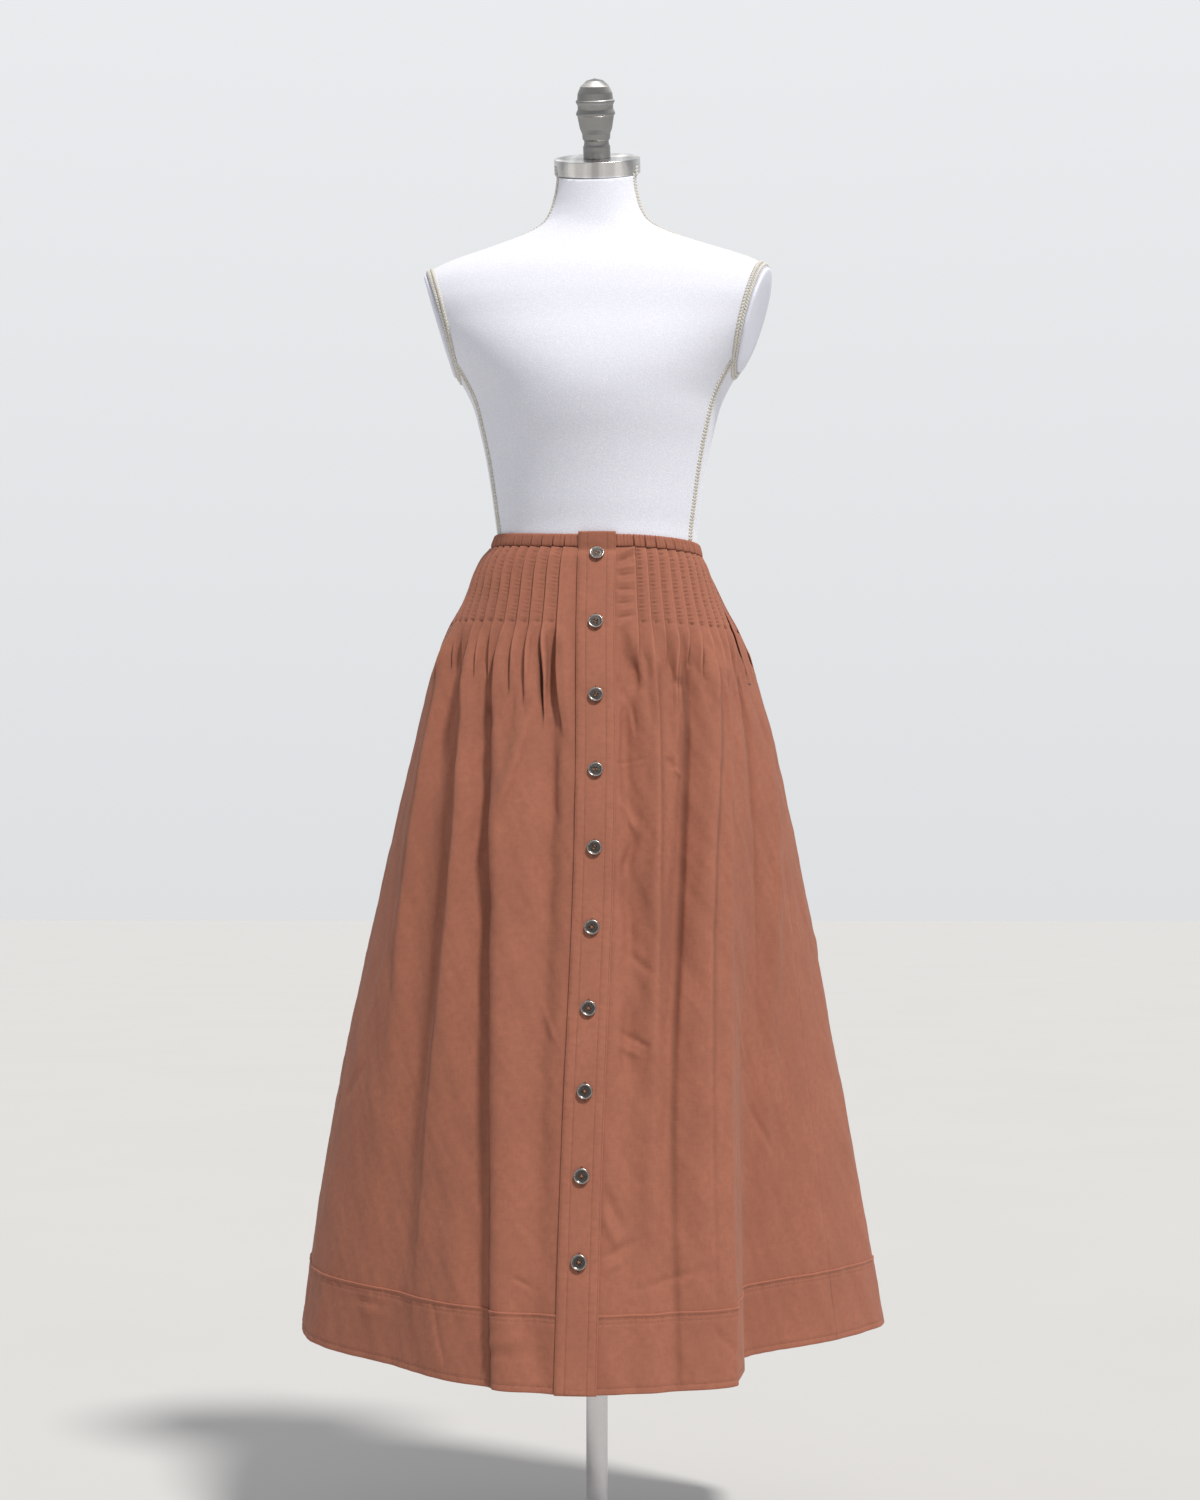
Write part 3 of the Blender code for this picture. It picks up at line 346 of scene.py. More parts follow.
def along(x, knots, values):
    """Smooth curve through a short table, flat past its ends."""
    knots, values = np.asarray(knots, float), np.asarray(values, float)
    order = np.argsort(knots)
    knots, values = knots[order], values[order]
    slopes = np.gradient(values, knots)
    x = np.clip(np.asarray(x, float), knots[0], knots[-1])
    i = np.clip(np.searchsorted(knots, x) - 1, 0, len(knots) - 2)
    width = knots[i + 1] - knots[i]
    t = (x - knots[i]) / width
    return ((2 * t ** 3 - 3 * t ** 2 + 1) * values[i] + (t ** 3 - 2 * t ** 2 + t) * width * slopes[i]
            + (3 * t ** 2 - 2 * t ** 3) * values[i + 1] + (t ** 3 - t ** 2) * width * slopes[i + 1])


def step(x, low, high):
    t = np.clip((x - low) / (high - low), 0.0, 1.0)
    return t * t * (3 - 2 * t)


def bell(x):
    return np.exp(-x ** 2)


def wrap(q):
    return (np.asarray(q, float) + 180.0) % 360.0 - 180.0


def fan_at(z):
    """How much wider an angle on the cloth is on the body, above the tuck ends."""
    return 1 + WAIST_SPREAD * np.clip((z - TUCK_END) / (BAND_LOW - TUCK_END), 0, 1)


def spread(q, z):
    """Angle on the body for a place q on the cloth. Lines fan out above the tuck ends."""
    q = wrap(q)
    seam = SIDE_SEAM * fan_at(z)
    front = q * seam / SIDE_SEAM
    back = np.sign(q) * (180 - (180 - np.abs(q)) * (180 - seam) / (180 - SIDE_SEAM))
    return np.radians(np.where(np.abs(q) <= SIDE_SEAM, front, back))


def tuck_wave(q, z):
    """Soft waves where the tucks let go."""
    q = wrap(q)
    zone = np.where(q < -SIDE_SEAM, 3, np.where(q < 3.3, 0, np.where(q <= SIDE_SEAM, 1, 2)))
    u = (q - TUCKS["start"][zone]) / TUCKS["step"][zone]
    count = TUCKS["count"][zone]
    size = 1 + 0.35 * np.sin(2.4 * np.floor(u) + 1.7 * zone)
    inside = step(u, -1.0, 0.0) * (1 - step(u, count - 0.5, count + 0.5))
    height = (1 - step(z, 1.000, TUCK_END)) * step(z, 0.885, 0.990)
    return TUCK_WAVE * size * inside * height * (0.5 - 0.5 * np.cos(2 * np.pi * (u - 0.25)))


def down_the_skirt(rows, i, z):
    """Angle and size of one fold or edge at a height, from its four stated heights."""
    angle, size = ([rows[letter + number][i] for number in "1234"] for letter in "qd")
    return along(z, FOLD_HEIGHTS, angle), along(z, FOLD_HEIGHTS, size)


def fold_depth(q, z):
    """How far the folds push the cloth out or in."""
    total = np.zeros(np.broadcast(q, z).shape)
    fade = 1 - step(z, 0.995, TUCK_END - 0.004)
    for i in range(len(FOLDS["q1"])):
        middle, depth = down_the_skirt(FOLDS, i, z)
        away = wrap(q - middle)
        width = np.where(away < 0, FOLDS["before"][i], FOLDS["after"][i])
        total = total + depth * bell(away / width)
    stiff = np.exp(-(wrap(q - centre(z)) / (1.2 * degrees_for(PLACKET_WIDTH / 2, z))) ** 6)
    return total * fade * (1 - 0.85 * stiff)


def waist_rise(s, z):
    """The waist rides up on the wearer's right side."""
    return WAIST_RISE * np.minimum(s, 0) ** 2 * step(z, 0.80, 1.03)


def half_sizes(s, c, z):
    """Half width and half depth of the skirt on the side that an angle looks to."""
    sides = ("left", "right", "front", "back")
    left, right, front, back = (along(z, SKIRT["z"], SKIRT[side]) for side in sides)
    return np.where(s < 0, left, right), np.where(c > 0, front, back)


def smooth_skirt(q, z, waves=1.0):
    """Outer face of the cloth without the tuck edges."""
    q, z = np.asarray(q, float), np.asarray(z, float)
    angle = spread(q, z)
    s, c = np.sin(angle), np.cos(angle)
    a, b = half_sizes(s, c, z)
    x, y = a * s, -b * c
    nx, ny = s / a, -c / b
    size = np.hypot(nx, ny)
    out = fold_depth(q, z) + waves * tuck_wave(q, z)
    lift = HEM_LIFT * s ** 2 * (WAIST_TOP - z) / (WAIST_TOP - HEM_LOW)
    lift = lift + waist_rise(s, z)
    return np.stack([x + out * nx / size, y + out * ny / size, z + lift], axis=-1)


def cloth(q, z, out=0.0, waves=1.0):
    """Point on the cloth, moved out along its own normal."""
    q, z = np.asarray(q, float), np.asarray(z, float)
    point = smooth_skirt(q, z, waves)
    round_it = smooth_skirt(q + 0.4, z, waves) - smooth_skirt(q - 0.4, z, waves)
    down = smooth_skirt(q, z - 0.003, waves) - smooth_skirt(q, z + 0.003, waves)
    normal = np.cross(down, round_it)
    normal /= np.linalg.norm(normal, axis=-1, keepdims=True)
    return point + normal * np.asarray(out)[..., None]


def centre(z):
    return along(np.minimum(z, BAND_LOW), CENTRE["z"], CENTRE["q"])


def degrees_for(length, z):
    """Cloth angle that spans a length at the front of the skirt."""
    z = np.minimum(z, BAND_LOW)
    half = along(z, SKIRT["z"], (SKIRT["left"] + SKIRT["right"]) / 2)
    fan = spread(1.0, z) / math.radians(1.0)
    return np.degrees(length / half) / fan


def degree_length(q, z):
    """Length along the cloth of one degree, in metres."""
    angle = spread(q, z)
    s, c = np.sin(angle), np.cos(angle)
    a, b = half_sizes(s, c, z)
    return np.hypot(a * c, b * s) * math.pi / 180 * fan_at(z)


def strip_edges(z):
    """Angles of the two edges of the placket at a height."""
    half = degrees_for(PLACKET_WIDTH / 2, z)
    return centre(z) - half, centre(z) + half


def seam_gap(z):
    """Half the gap of a side seam, in degrees."""
    return np.degrees(0.5 * SEAM / along(z, SKIRT["z"], SKIRT["front"]))


def pocket_gap(z):
    """How far the pocket mouth draws the front panel's edge back, in degrees."""
    return POCKET_MOUTH * step(1 - np.abs(z - POCKET_MIDDLE) / POCKET_HALF, 0.0, 0.7)


def panel_seam(z, side):
    return side * (SIDE_SEAM - seam_gap(z) - pocket_gap(z))


def panel_edge(z, side):
    """Edge of a front panel under the placket."""
    low, high = strip_edges(z)
    under = degrees_for(PLACKET_TUCK_UNDER, z)
    return low + under if side < 0 else high - under


def band_base(q, z, out):
    """Waistband points, measured out from the form's waist."""
    angle = spread(q, np.full_like(z, BAND_LOW))
    s, c = np.sin(angle), np.cos(angle)
    side, deep = WAIST_SIDE + WAIST_CLEAR, np.where(c > 0, WAIST_FRONT, WAIST_BACK) + WAIST_CLEAR
    nx, ny = s / side, -c / deep
    size = np.hypot(nx, ny)
    x, y = side * s + out * nx / size, -deep * c + out * ny / size
    return np.stack([x, y, np.broadcast_to(z + waist_rise(s, z), x.shape)], axis=-1)


def strip_point(q, z, out):
    """Strip points: they ride on the waistband at the top and on the panel lower down."""
    on_cloth = cloth(q, np.minimum(z, WAIST_TOP), out)
    on_cloth[..., 2] += np.maximum(z - WAIST_TOP, 0)
    on_band = band_base(q, z, BAND_OUT + out)
    share = step(z, BAND_LOW - 0.012, BAND_LOW - 0.001)[..., None]
    return on_cloth * (1 - share) + on_band * share


def ripple(q, z, seed, waves):
    """Seeded crumple from crossing waves. Each wave is (count round the skirt, length, height)."""
    made = np.random.default_rng(seed)
    turn = np.radians(q)
    total = np.zeros(np.broadcast(q, z).shape)
    for count, length, high in waves:
        for _ in range(3):
            round_it = int(round(count * made.uniform(0.75, 1.3)))
            slant = int(round(count * made.uniform(-0.3, 0.3)))
            tall = 2 * math.pi / (length * made.uniform(0.75, 1.3))
            lean, phase, other = made.uniform(-0.4, 0.4), made.uniform(0, 6.28), made.uniform(0, 6.28)
            total += high / 3 * np.sin(round_it * turn + lean * tall * z + phase) \
                * np.sin(tall * z + slant * turn + other)
    return total


def creases_at(q, z):
    """Height of the small creases, each a soft line with faded ends."""
    total = np.zeros(np.broadcast(q, z).shape)
    unit = degree_length(q, z)
    for i in range(len(CREASES["q1"])):
        q1, z1, q2, z2 = (CREASES[c][i] for c in ("q1", "z1", "q2", "z2"))
        dx, dz = wrap(q - q1) * unit, z - z1
        ex, ez = wrap(q2 - q1) * unit, z2 - z1
        size = ex ** 2 + ez ** 2
        share = (dx * ex + dz * ez) / size
        off = np.hypot(dx - ex * share, dz - ez * share)
        ends = step(share, -0.25, 0.35) * (1 - step(share, 0.65, 1.25))
        total += CREASE_DEEPER * CREASES["deep"][i] * bell(off / CREASES["wide"][i]) * ends
    return total


def fold_edges(q, z):
    """Height of the sharp fold edges, and their mark: a painted highlight on the lip and painted shade under
    it.
    """
    total, marks = np.zeros(np.broadcast(q, z).shape), np.zeros(np.broadcast(q, z).shape)
    unit = degree_length(q, z)
    fade = 1 - step(z, 0.975, 1.015)
    for i in range(len(EDGES["q1"])):
        middle, size = down_the_skirt(EDGES, i, z)
        size = size * fade
        away = wrap(q - middle) * unit * EDGES["shade"][i]
        total = total + size * 0.5 * np.tanh(away / EDGE_STEP) * np.exp(-np.abs(away) / EDGE_REACH)
        # Painted highlight on the lip and painted shade under the step
        lip, under = bell((away - 0.0020) / 0.0020), bell((away + 0.0030) / 0.0034)
        marks = marks + size / EDGE_FULL * (0.35 * lip - 0.75 * under)
    return total, marks


def small_relief(q, z):
    """Creases and crumple that every cloth piece shares, so that they run on across seams."""
    stiff = np.exp(-(wrap(q - centre(z)) / (1.15 * degrees_for(PLACKET_WIDTH / 2, z))) ** 6)
    calm = (1 - 0.75 * step(z, 1.03, 1.06)) * (1 - 0.8 * stiff)
    return (creases_at(q, z) + fold_edges(q, z)[0]) * (1 - stiff) + calm * (
        ripple(q, z, 5, SOFT_CRUMPLE) + ripple(q, z, 9, FINE_CRUMPLE))


def tuck_pucker(tall, phase):
    """Uneven pucker of the cloth along a line of stitches."""
    slow = np.sin(2 * np.pi * tall / 0.0055 + phase + 1.4 * np.sin(tall / 0.006 + phase))
    return 0.5 * slow + 0.5 * np.sin(2 * np.pi * tall / 0.0041 + 2.3 * phase)


def tuck_columns(z, zone, edge, seam, middle_count, seam_count):
    """Columns of one tucked half at each height: angle, height and a mark of painted highlight and shade."""
    sign = np.sign(TUCKS["step"][zone])
    pitch = abs(TUCKS["step"][zone])
    count = int(TUCKS["count"][zone])
    run, deep, drift = (column[None, :] for column in TUCK_LIFE[zone].values())
    tall = z[:, None]
    below = np.maximum(TUCK_END - tall, 0)
    line = TUCKS["start"][zone] + TUCKS["step"][zone] * np.arange(count)[None, :]
    line = line + drift * np.minimum(below, TUCK_DRIFT_REACH) * np.where(below > 0, 1, 0)
    life = 1 - step(below, 0.45 * run, run)
    size = np.where(below > 0, 1 + (deep - 1) * step(below, 0.0, TUCK_OPENING), 1.0) * life
    narrow = 1 - 0.12 * step(tall, 1.10, 1.135)
    unit = degree_length(line, tall) * pitch
    whole = sign * pitch
    before = np.diff(line, axis=1, prepend=line[:, :1] - whole)
    after = np.diff(line, axis=1, append=line[:, -1:] + whole)
    spots = len(TUCK_SECTION["along"])
    made_q, made_up, made_mark = [], [], []
    for j, (reach, rise, lit) in enumerate(zip(*TUCK_SECTION.values())):
        even = (j - TUCK_EVEN) / spots
        folded = reach * np.where(rise > 0.0009, 1.0, np.maximum(size, 1)) / unit
        here = even + (folded - even) * np.minimum(life * 1.6, 1)
        made_q.append(line + np.where(here < 0, before, after) * here)
        made_up.append(rise * size * narrow)
        made_mark.append(life * np.minimum(size, 1.5) * lit)
    q, up, mark = (np.stack(made, axis=-1).reshape(len(z), -1) for made in (made_q, made_up, made_mark))
    foot = np.repeat(line, spots, axis=1)
    near = bell((q - foot - sign * 2.2) * degree_length(q, tall) / 0.0030)
    phase = 1.9 * np.repeat(np.arange(count), spots)[None, :]
    sewn = step(tall, TUCK_END - 0.002, TUCK_END + 0.004) * near
    pucker = tuck_pucker(tall, phase)
    loose = 0.55 if zone == 0 else 1.0
    end_spot = bell((tall - TUCK_END) / 0.0016)
    end_spot = end_spot * bell((q - foot - sign * 2.4) * degree_length(q, tall) / 0.0014)
    up = up + loose * sewn * TUCK_PUCKER * pucker - TUCK_PINCH * end_spot
    # Painted shade on the puckered stitched band and in the pinched hole at each tuck's end
    end_shade = 0.8 + 0.6 * np.sin(1.7 * phase)
    mark = mark - sewn * (TUCK_SEWN_SHADE - loose * 0.38 * pucker) - end_shade * end_spot
    first, last = q[:, :1], q[:, -1:]
    t = np.linspace(0, 1, middle_count, endpoint=False)[None, :]
    middle = edge[:, None] + t * (first - edge[:, None])
    middle_up = up[:, :1] * step(t, 0.35, 1.0)
    t = np.linspace(0, 1, seam_count + 1)[None, 1:]
    side = last + t * (seam[:, None] - last)
    side_up = up[:, -1:] * (1 - t)
    q = np.concatenate([middle, q, side], axis=1)
    up = np.concatenate([middle_up, up, side_up], axis=1)
    mark = np.concatenate([np.zeros(middle.shape), mark, np.zeros(side.shape)], axis=1)
    return q, up, mark


# Cloth folded back under a side seam or pocket mouth: distance past the edge, height
TURNED_EDGE = table("along up", [
    (0.0007, -0.0004), (0.0007, -0.0011), (-0.0002, -0.0016), (-0.0100, -0.0018)])


def turned_edge(q, up, mark, z, sign):
    """Adds the folded-back edge of a panel after its last column."""
    unit = degree_length(q[:, -1:], z[:, None])
    more_q = q[:, -1:] + sign * TURNED_EDGE["along"][None, :] / unit
    more_up = up[:, -1:] + TURNED_EDGE["up"][None, :]
    return (np.concatenate([q, more_q], 1), np.concatenate([up, more_up], 1),
            np.concatenate([mark, np.zeros(more_q.shape)], 1))


def linked(name, data):
    """New object in the scene, at the origin."""
    thing = bpy.data.objects.new(name, data)
    bpy.context.scene.collection.objects.link(thing)
    return thing


def from_shape(name, shape, finishes, place=None):
    """Object from a mesh under work, which is freed."""
    mesh = bpy.data.meshes.new(name)
    shape.to_mesh(mesh)
    shape.free()
    for finish in finishes:
        mesh.materials.append(look(finish))
    if place is not None:
        mesh.transform(place)
    return linked(name, mesh)


def flat_place(q, z, degree, shift=0.0):
    """Place on the flat cloth, for the weave."""
    return np.stack([q * degree + shift, np.broadcast_to(z, q.shape)], -1)


def grid_piece(name, points, uv, marks, finish):
    """Mesh from a grid of points, its rows downwards and its columns to the wearer's left."""
    rows, cols = points.shape[:2]
    corner = np.arange(rows * cols).reshape(rows, cols)
    quads = np.stack([corner[:-1, :-1], corner[1:, :-1], corner[1:, 1:], corner[:-1, 1:]], -1)
    return faces_piece(name, points, quads, uv, marks, finish)


def loop_piece(name, points, uv, marks, finish):
    """Closed wall: each row of the grid is a full loop round the cloth's section."""
    rows, cols = points.shape[:2]
    corner = np.arange(rows * cols).reshape(rows, cols)
    beside = np.roll(corner, -1, axis=1)
    quads = np.stack([corner[:-1], beside[:-1], beside[1:], corner[1:]], -1)
    return cap_ends(faces_piece(name, points, quads, uv, marks, finish))


def faces_piece(name, points, quads, uv, marks, finish):
    """Smooth mesh of four-cornered faces, with its place on the flat cloth and its marks of painted highlight
    and shade.
    """
    points, quads = points.reshape(-1, 3), quads.reshape(-1, 4)
    mesh = bpy.data.meshes.new(name)
    mesh.vertices.add(len(points))
    mesh.vertices.foreach_set("co", np.ascontiguousarray(points, np.float32).ravel())
    mesh.loops.add(quads.size)
    mesh.loops.foreach_set("vertex_index", quads.astype(np.int32).ravel())
    mesh.polygons.add(len(quads))
    mesh.polygons.foreach_set("loop_start", np.arange(0, quads.size, 4, dtype=np.int32))
    mesh.update(calc_edges=True)
    mesh.polygons.foreach_set("use_smooth", np.ones(len(quads), bool))
    layer = mesh.uv_layers.new(name="cloth")
    layer.data.foreach_set("uv", uv.reshape(-1, 2)[quads.ravel()].astype(np.float32).ravel())
    # Painted highlight and shade, which the cotton finish reads
    mark = mesh.attributes.new("painted_light_and_shade", "FLOAT", "POINT")
    mark.data.foreach_set("value", marks.reshape(-1).astype(np.float32))
    mesh.materials.append(look(finish))
    return linked(name, mesh)


def cap_ends(thing):
    """Close the two ends of a loop piece and turn all faces out."""
    shape = bmesh.new()
    shape.from_mesh(thing.data)
    rim = [e for e in shape.edges if e.is_boundary]
    bmesh.ops.holes_fill(shape, edges=rim, sides=0)
    bmesh.ops.recalc_face_normals(shape, faces=shape.faces)
    shape.to_mesh(thing.data)
    shape.free()
    return thing


class ClothSizes(bpy.types.PropertyGroup):
    colour: bpy.props.FloatVectorProperty(
        name="Cloth colour", description="Colour of the cotton", subtype="COLOR", size=3,
        default=(0.325, 0.123, 0.078), min=0, max=1)
    pocket_colour: bpy.props.FloatVectorProperty(
        name="Pocket colour", description="Colour of the pocket cloth", subtype="COLOR", size=3,
        default=(0.255, 0.096, 0.061), min=0, max=1)
    thread_colour: bpy.props.FloatVectorProperty(
        name="Thread colour", description="Colour of the sewing thread", subtype="COLOR", size=3,
        default=(0.262, 0.098, 0.061), min=0, max=1)
    weave: bpy.props.FloatProperty(
        name="Weave pitch", description="Distance from one thread of the weave to the next",
        default=0.0005, min=0.0002, max=0.002, unit="LENGTH")
    stitch_pitch: bpy.props.FloatProperty(
        name="Stitch pitch", description="Length of one topstitch with its gap",
        default=0.0026, min=0.001, max=0.006, unit="LENGTH")
    thread: bpy.props.FloatProperty(
        name="Thread width", description="Width of the sewing thread",
        default=0.00050, min=0.0002, max=0.001, unit="LENGTH")


class ButtonSizes(bpy.types.PropertyGroup):
    centre_colour: bpy.props.FloatVectorProperty(
        name="Centre colour", description="Colour of the button's dished centre", subtype="COLOR",
        size=3, default=(0.060, 0.050, 0.045), min=0, max=1)
    rim_colour: bpy.props.FloatVectorProperty(
        name="Rim colour", description="Colour of the button's metal rim", subtype="COLOR",
        size=3, default=(0.430, 0.410, 0.395), min=0, max=1)
    thread_colour: bpy.props.FloatVectorProperty(
        name="Button thread", description="Colour of the thread that holds the buttons",
        subtype="COLOR", size=3, default=(0.420, 0.150, 0.060), min=0, max=1)
    hole: bpy.props.FloatProperty(
        name="Hole width", description="Width of one of the four holes",
        default=0.0017, min=0.0008, max=0.003, unit="LENGTH")
    hole_spacing: bpy.props.FloatProperty(
        name="Hole spacing", description="Distance between two holes",
        default=0.0031, min=0.001, max=0.005, unit="LENGTH")


class FormSizes(bpy.types.PropertyGroup):
    jersey_colour: bpy.props.FloatVectorProperty(
        name="Jersey colour", description="Colour of the form's knitted cover", subtype="COLOR",
        size=3, default=(0.750, 0.765, 0.865), min=0, max=1)
    braid_colour: bpy.props.FloatVectorProperty(
        name="Braid colour", description="Colour of the braid on the form's seams",
        subtype="COLOR", size=3, default=(0.740, 0.710, 0.650), min=0, max=1)
    braid_width: bpy.props.FloatProperty(
        name="Braid width", description="Width of the braid", default=0.0104,
        min=0.003, max=0.015, unit="LENGTH")
    metal_colour: bpy.props.FloatVectorProperty(
        name="Metal colour", description="Colour of the cap and finial", subtype="COLOR",
        size=3, default=(0.640, 0.630, 0.620), min=0, max=1)
    pole_colour: bpy.props.FloatVectorProperty(
        name="Pole colour", description="Colour of the pole and base", subtype="COLOR",
        size=3, default=(0.720, 0.715, 0.720), min=0, max=1)


class StageSizes(bpy.types.PropertyGroup):
    floor_colour: bpy.props.FloatVectorProperty(
        name="Floor colour", description="Colour of the plain floor", subtype="COLOR",
        size=3, default=(0.520, 0.517, 0.510), min=0, max=1)
    key_power: bpy.props.FloatProperty(
        name="Key light", description="Strength of the main light", default=3.2, min=0, max=20)
    key_azimuth: bpy.props.FloatProperty(
        name="Key azimuth", description="Side that the main light comes from",
        default=math.radians(40), subtype="ANGLE")
    key_elevation: bpy.props.FloatProperty(
        name="Key elevation", description="Height of the main light above the floor",
        default=math.radians(60), subtype="ANGLE")
    fill_power: bpy.props.FloatProperty(
        name="Fill light", description="Strength of the light from all round",
        default=0.45, min=0, max=5)


def sizes():
    return bpy.context.scene.skirt_looks


class SkirtLooks(bpy.types.PropertyGroup):
    cloth: bpy.props.PointerProperty(type=ClothSizes, name="Cloth", description="Sizes of the cloth")
    button: bpy.props.PointerProperty(type=ButtonSizes, name="Buttons", description="Sizes of the buttons")
    form: bpy.props.PointerProperty(type=FormSizes, name="Form", description="Sizes of the dress form")
    stage: bpy.props.PointerProperty(type=StageSizes, name="Stage", description="Floor and lights")


class Surface:
    """Short hand for building one procedural material."""

    def __init__(self, name, colour, rough, metal=0.0):
        self.made = bpy.data.materials.new(name)
        self.made.use_nodes = True
        self.tree = self.made.node_tree
        self.shader = self.tree.nodes["Principled BSDF"]
        self.colour = tuple(colour)
        self.set("Base Color", (*self.colour, 1))
        self.set("Roughness", rough)
        self.set("Metallic", metal)
        self.made.diffuse_color = (*self.colour, 1)
        self.bump_out = None

    def set(self, socket, value):
        self.shader.inputs[socket].default_value = value

    def node(self, kind, **values):
        made = self.tree.nodes.new(kind)
        for key, value in values.items():
            setattr(made, key, value)
        return made

    def link(self, out, into):
        self.tree.links.new(out, into)

    def place(self, source="Object", scale=(1, 1, 1), turn=(0, 0, 0), kind="POINT"):
        if source == "cloth":
            coordinates = self.node("ShaderNodeUVMap", uv_map="cloth").outputs["UV"]
        else:
            coordinates = self.node("ShaderNodeTexCoord").outputs[source]
        mapping = self.node("ShaderNodeMapping", vector_type=kind)
        mapping.inputs["Rotation"].default_value = turn
        mapping.inputs["Scale"].default_value = scale
        self.link(coordinates, mapping.inputs["Vector"])
        return mapping.outputs["Vector"]

    def noise(self, where, scale, detail=3.0, rough=0.55):
        made = self.node("ShaderNodeTexNoise")
        made.inputs["Scale"].default_value = scale
        made.inputs["Detail"].default_value = detail
        made.inputs["Roughness"].default_value = rough
        self.link(where, made.inputs["Vector"])
        return made.outputs["Fac"]

    def bands(self, where, pitch, direction="X", distortion=0.0):
        made = self.node("ShaderNodeTexWave", wave_type="BANDS", bands_direction=direction)
        made.inputs["Scale"].default_value = 2 * math.pi / (20 * pitch)
        made.inputs["Distortion"].default_value = distortion
        self.link(where, made.inputs["Vector"])
        return made.outputs["Fac"]

    def levels(self, value, low, high, to_low, to_high):
        made = self.node("ShaderNodeMapRange")
        for key, number in (("From Min", low), ("From Max", high), ("To Min", to_low), ("To Max", to_high)):
            made.inputs[key].default_value = number
        self.link(value, made.inputs["Value"])
        return made.outputs["Result"]

    def mix_numbers(self, kind, one, other):
        made = self.node("ShaderNodeMath", operation=kind)
        for socket, value in zip(made.inputs, (one, other)):
            if hasattr(value, "is_output"):
                self.link(value, socket)
            else:
                socket.default_value = value
        return made.outputs[0]

    def blend_colour(self, share, one, other):
        made = self.node("ShaderNodeMix", data_type="RGBA")
        self.link(share, made.inputs["Factor"])
        for socket, value in ((made.inputs[6], one), (made.inputs[7], other)):
            if hasattr(value, "is_output"):
                self.link(value, socket)
            else:
                socket.default_value = (*value, 1)
        return made.outputs[2]

    def tint(self, amount):
        return tuple(min(1.0, c * amount) for c in self.colour)

    def paint(self, out):
        self.link(out, self.shader.inputs["Base Color"])

    def rough(self, out):
        self.link(out, self.shader.inputs["Roughness"])

    def bump(self, height, strength, distance):
        made = self.node("ShaderNodeBump")
        made.inputs["Strength"].default_value = strength
        made.inputs["Distance"].default_value = distance
        self.link(height, made.inputs["Height"])
        if self.bump_out is not None:
            self.link(self.bump_out, made.inputs["Normal"])
        self.bump_out = made.outputs["Normal"]
        self.link(self.bump_out, self.shader.inputs["Normal"])


def cotton(name, colour, crumple=1.0):
    """Peached cotton: fine weave, slubs, soft crumple, and painted highlight and shade from its marks."""
    pitch = sizes().cloth.weave
    made = Surface(name, colour, 0.86)
    made.set("Specular IOR Level", 0.22)
    made.set("Sheen Weight", 0.07)
    made.set("Sheen Roughness", 0.45)
    made.set("Sheen Tint", (1.0, 0.86, 0.78, 1))
    weave = made.place("cloth")
    slub_across = made.noise(made.place("cloth", scale=(900, 60, 1)), 1.0, 2.0)
    slub_down = made.noise(made.place("cloth", scale=(60, 900, 1)), 1.0, 2.0)
    slubs = made.mix_numbers("ADD", slub_across, slub_down)
    cloudy = made.noise(made.place(), 14.0, 4.0, 0.6)
    mottled = made.noise(made.place(), 160.0, 3.0, 0.6)
    wear_and_painted_light = made.node("ShaderNodeAttribute", attribute_name="painted_light_and_shade").outputs["Fac"]
    tone = made.blend_colour(made.levels(cloudy, 0.3, 0.7, 0.0, 1.0), made.tint(0.93), made.tint(1.12))
    tone = made.blend_colour(made.levels(mottled, 0.35, 0.65, 0.0, 0.50), tone, made.tint(0.82))
    tone = made.blend_colour(made.levels(slubs, 0.75, 1.25, 0.0, 0.30), tone, made.tint(1.22))
    # Painted highlight where the mark is above nought, painted shade where it is below
    tone = made.blend_colour(made.levels(wear_and_painted_light, 0.0, 1.0, 0.0, 0.55), tone, made.tint(1.32))
    tone = made.blend_colour(made.levels(wear_and_painted_light, 0.0, -1.0, 0.0, 1.0), tone, made.tint(0.34))
    made.paint(tone)
    made.rough(made.levels(cloudy, 0.3, 0.7, 0.80, 0.90))
    threads = made.mix_numbers("ADD", made.bands(weave, pitch, "X"), made.bands(weave, pitch, "Y"))
    made.bump(threads, 0.30, 0.00010)
    made.bump(slubs, 0.35, 0.00025)
    wrinkled = made.noise(made.place(scale=(1, 1, 0.7)), 70.0, 3.0, 0.5)
    made.bump(wrinkled, 0.42 * crumple, 0.0014)
    return made.made


def thread_finish(name, colour, low=0.72):
    """Twisted thread, painted darker between its strands as shade and lighter on them as highlight."""
    made = Surface(name, colour, 0.55)
    made.set("Sheen Weight", 0.2)
    twist = made.bands(made.place(turn=(0.5, 0.7, 0.4)), 0.0005, "DIAGONAL", 1.0)
    made.bump(twist, 0.5, 0.0001)
    # Painted shade between the strands and painted highlight on them
    made.paint(made.blend_colour(made.levels(twist, 0, 1, 0, 1), made.tint(low), made.tint(1.12)))
    return made.made


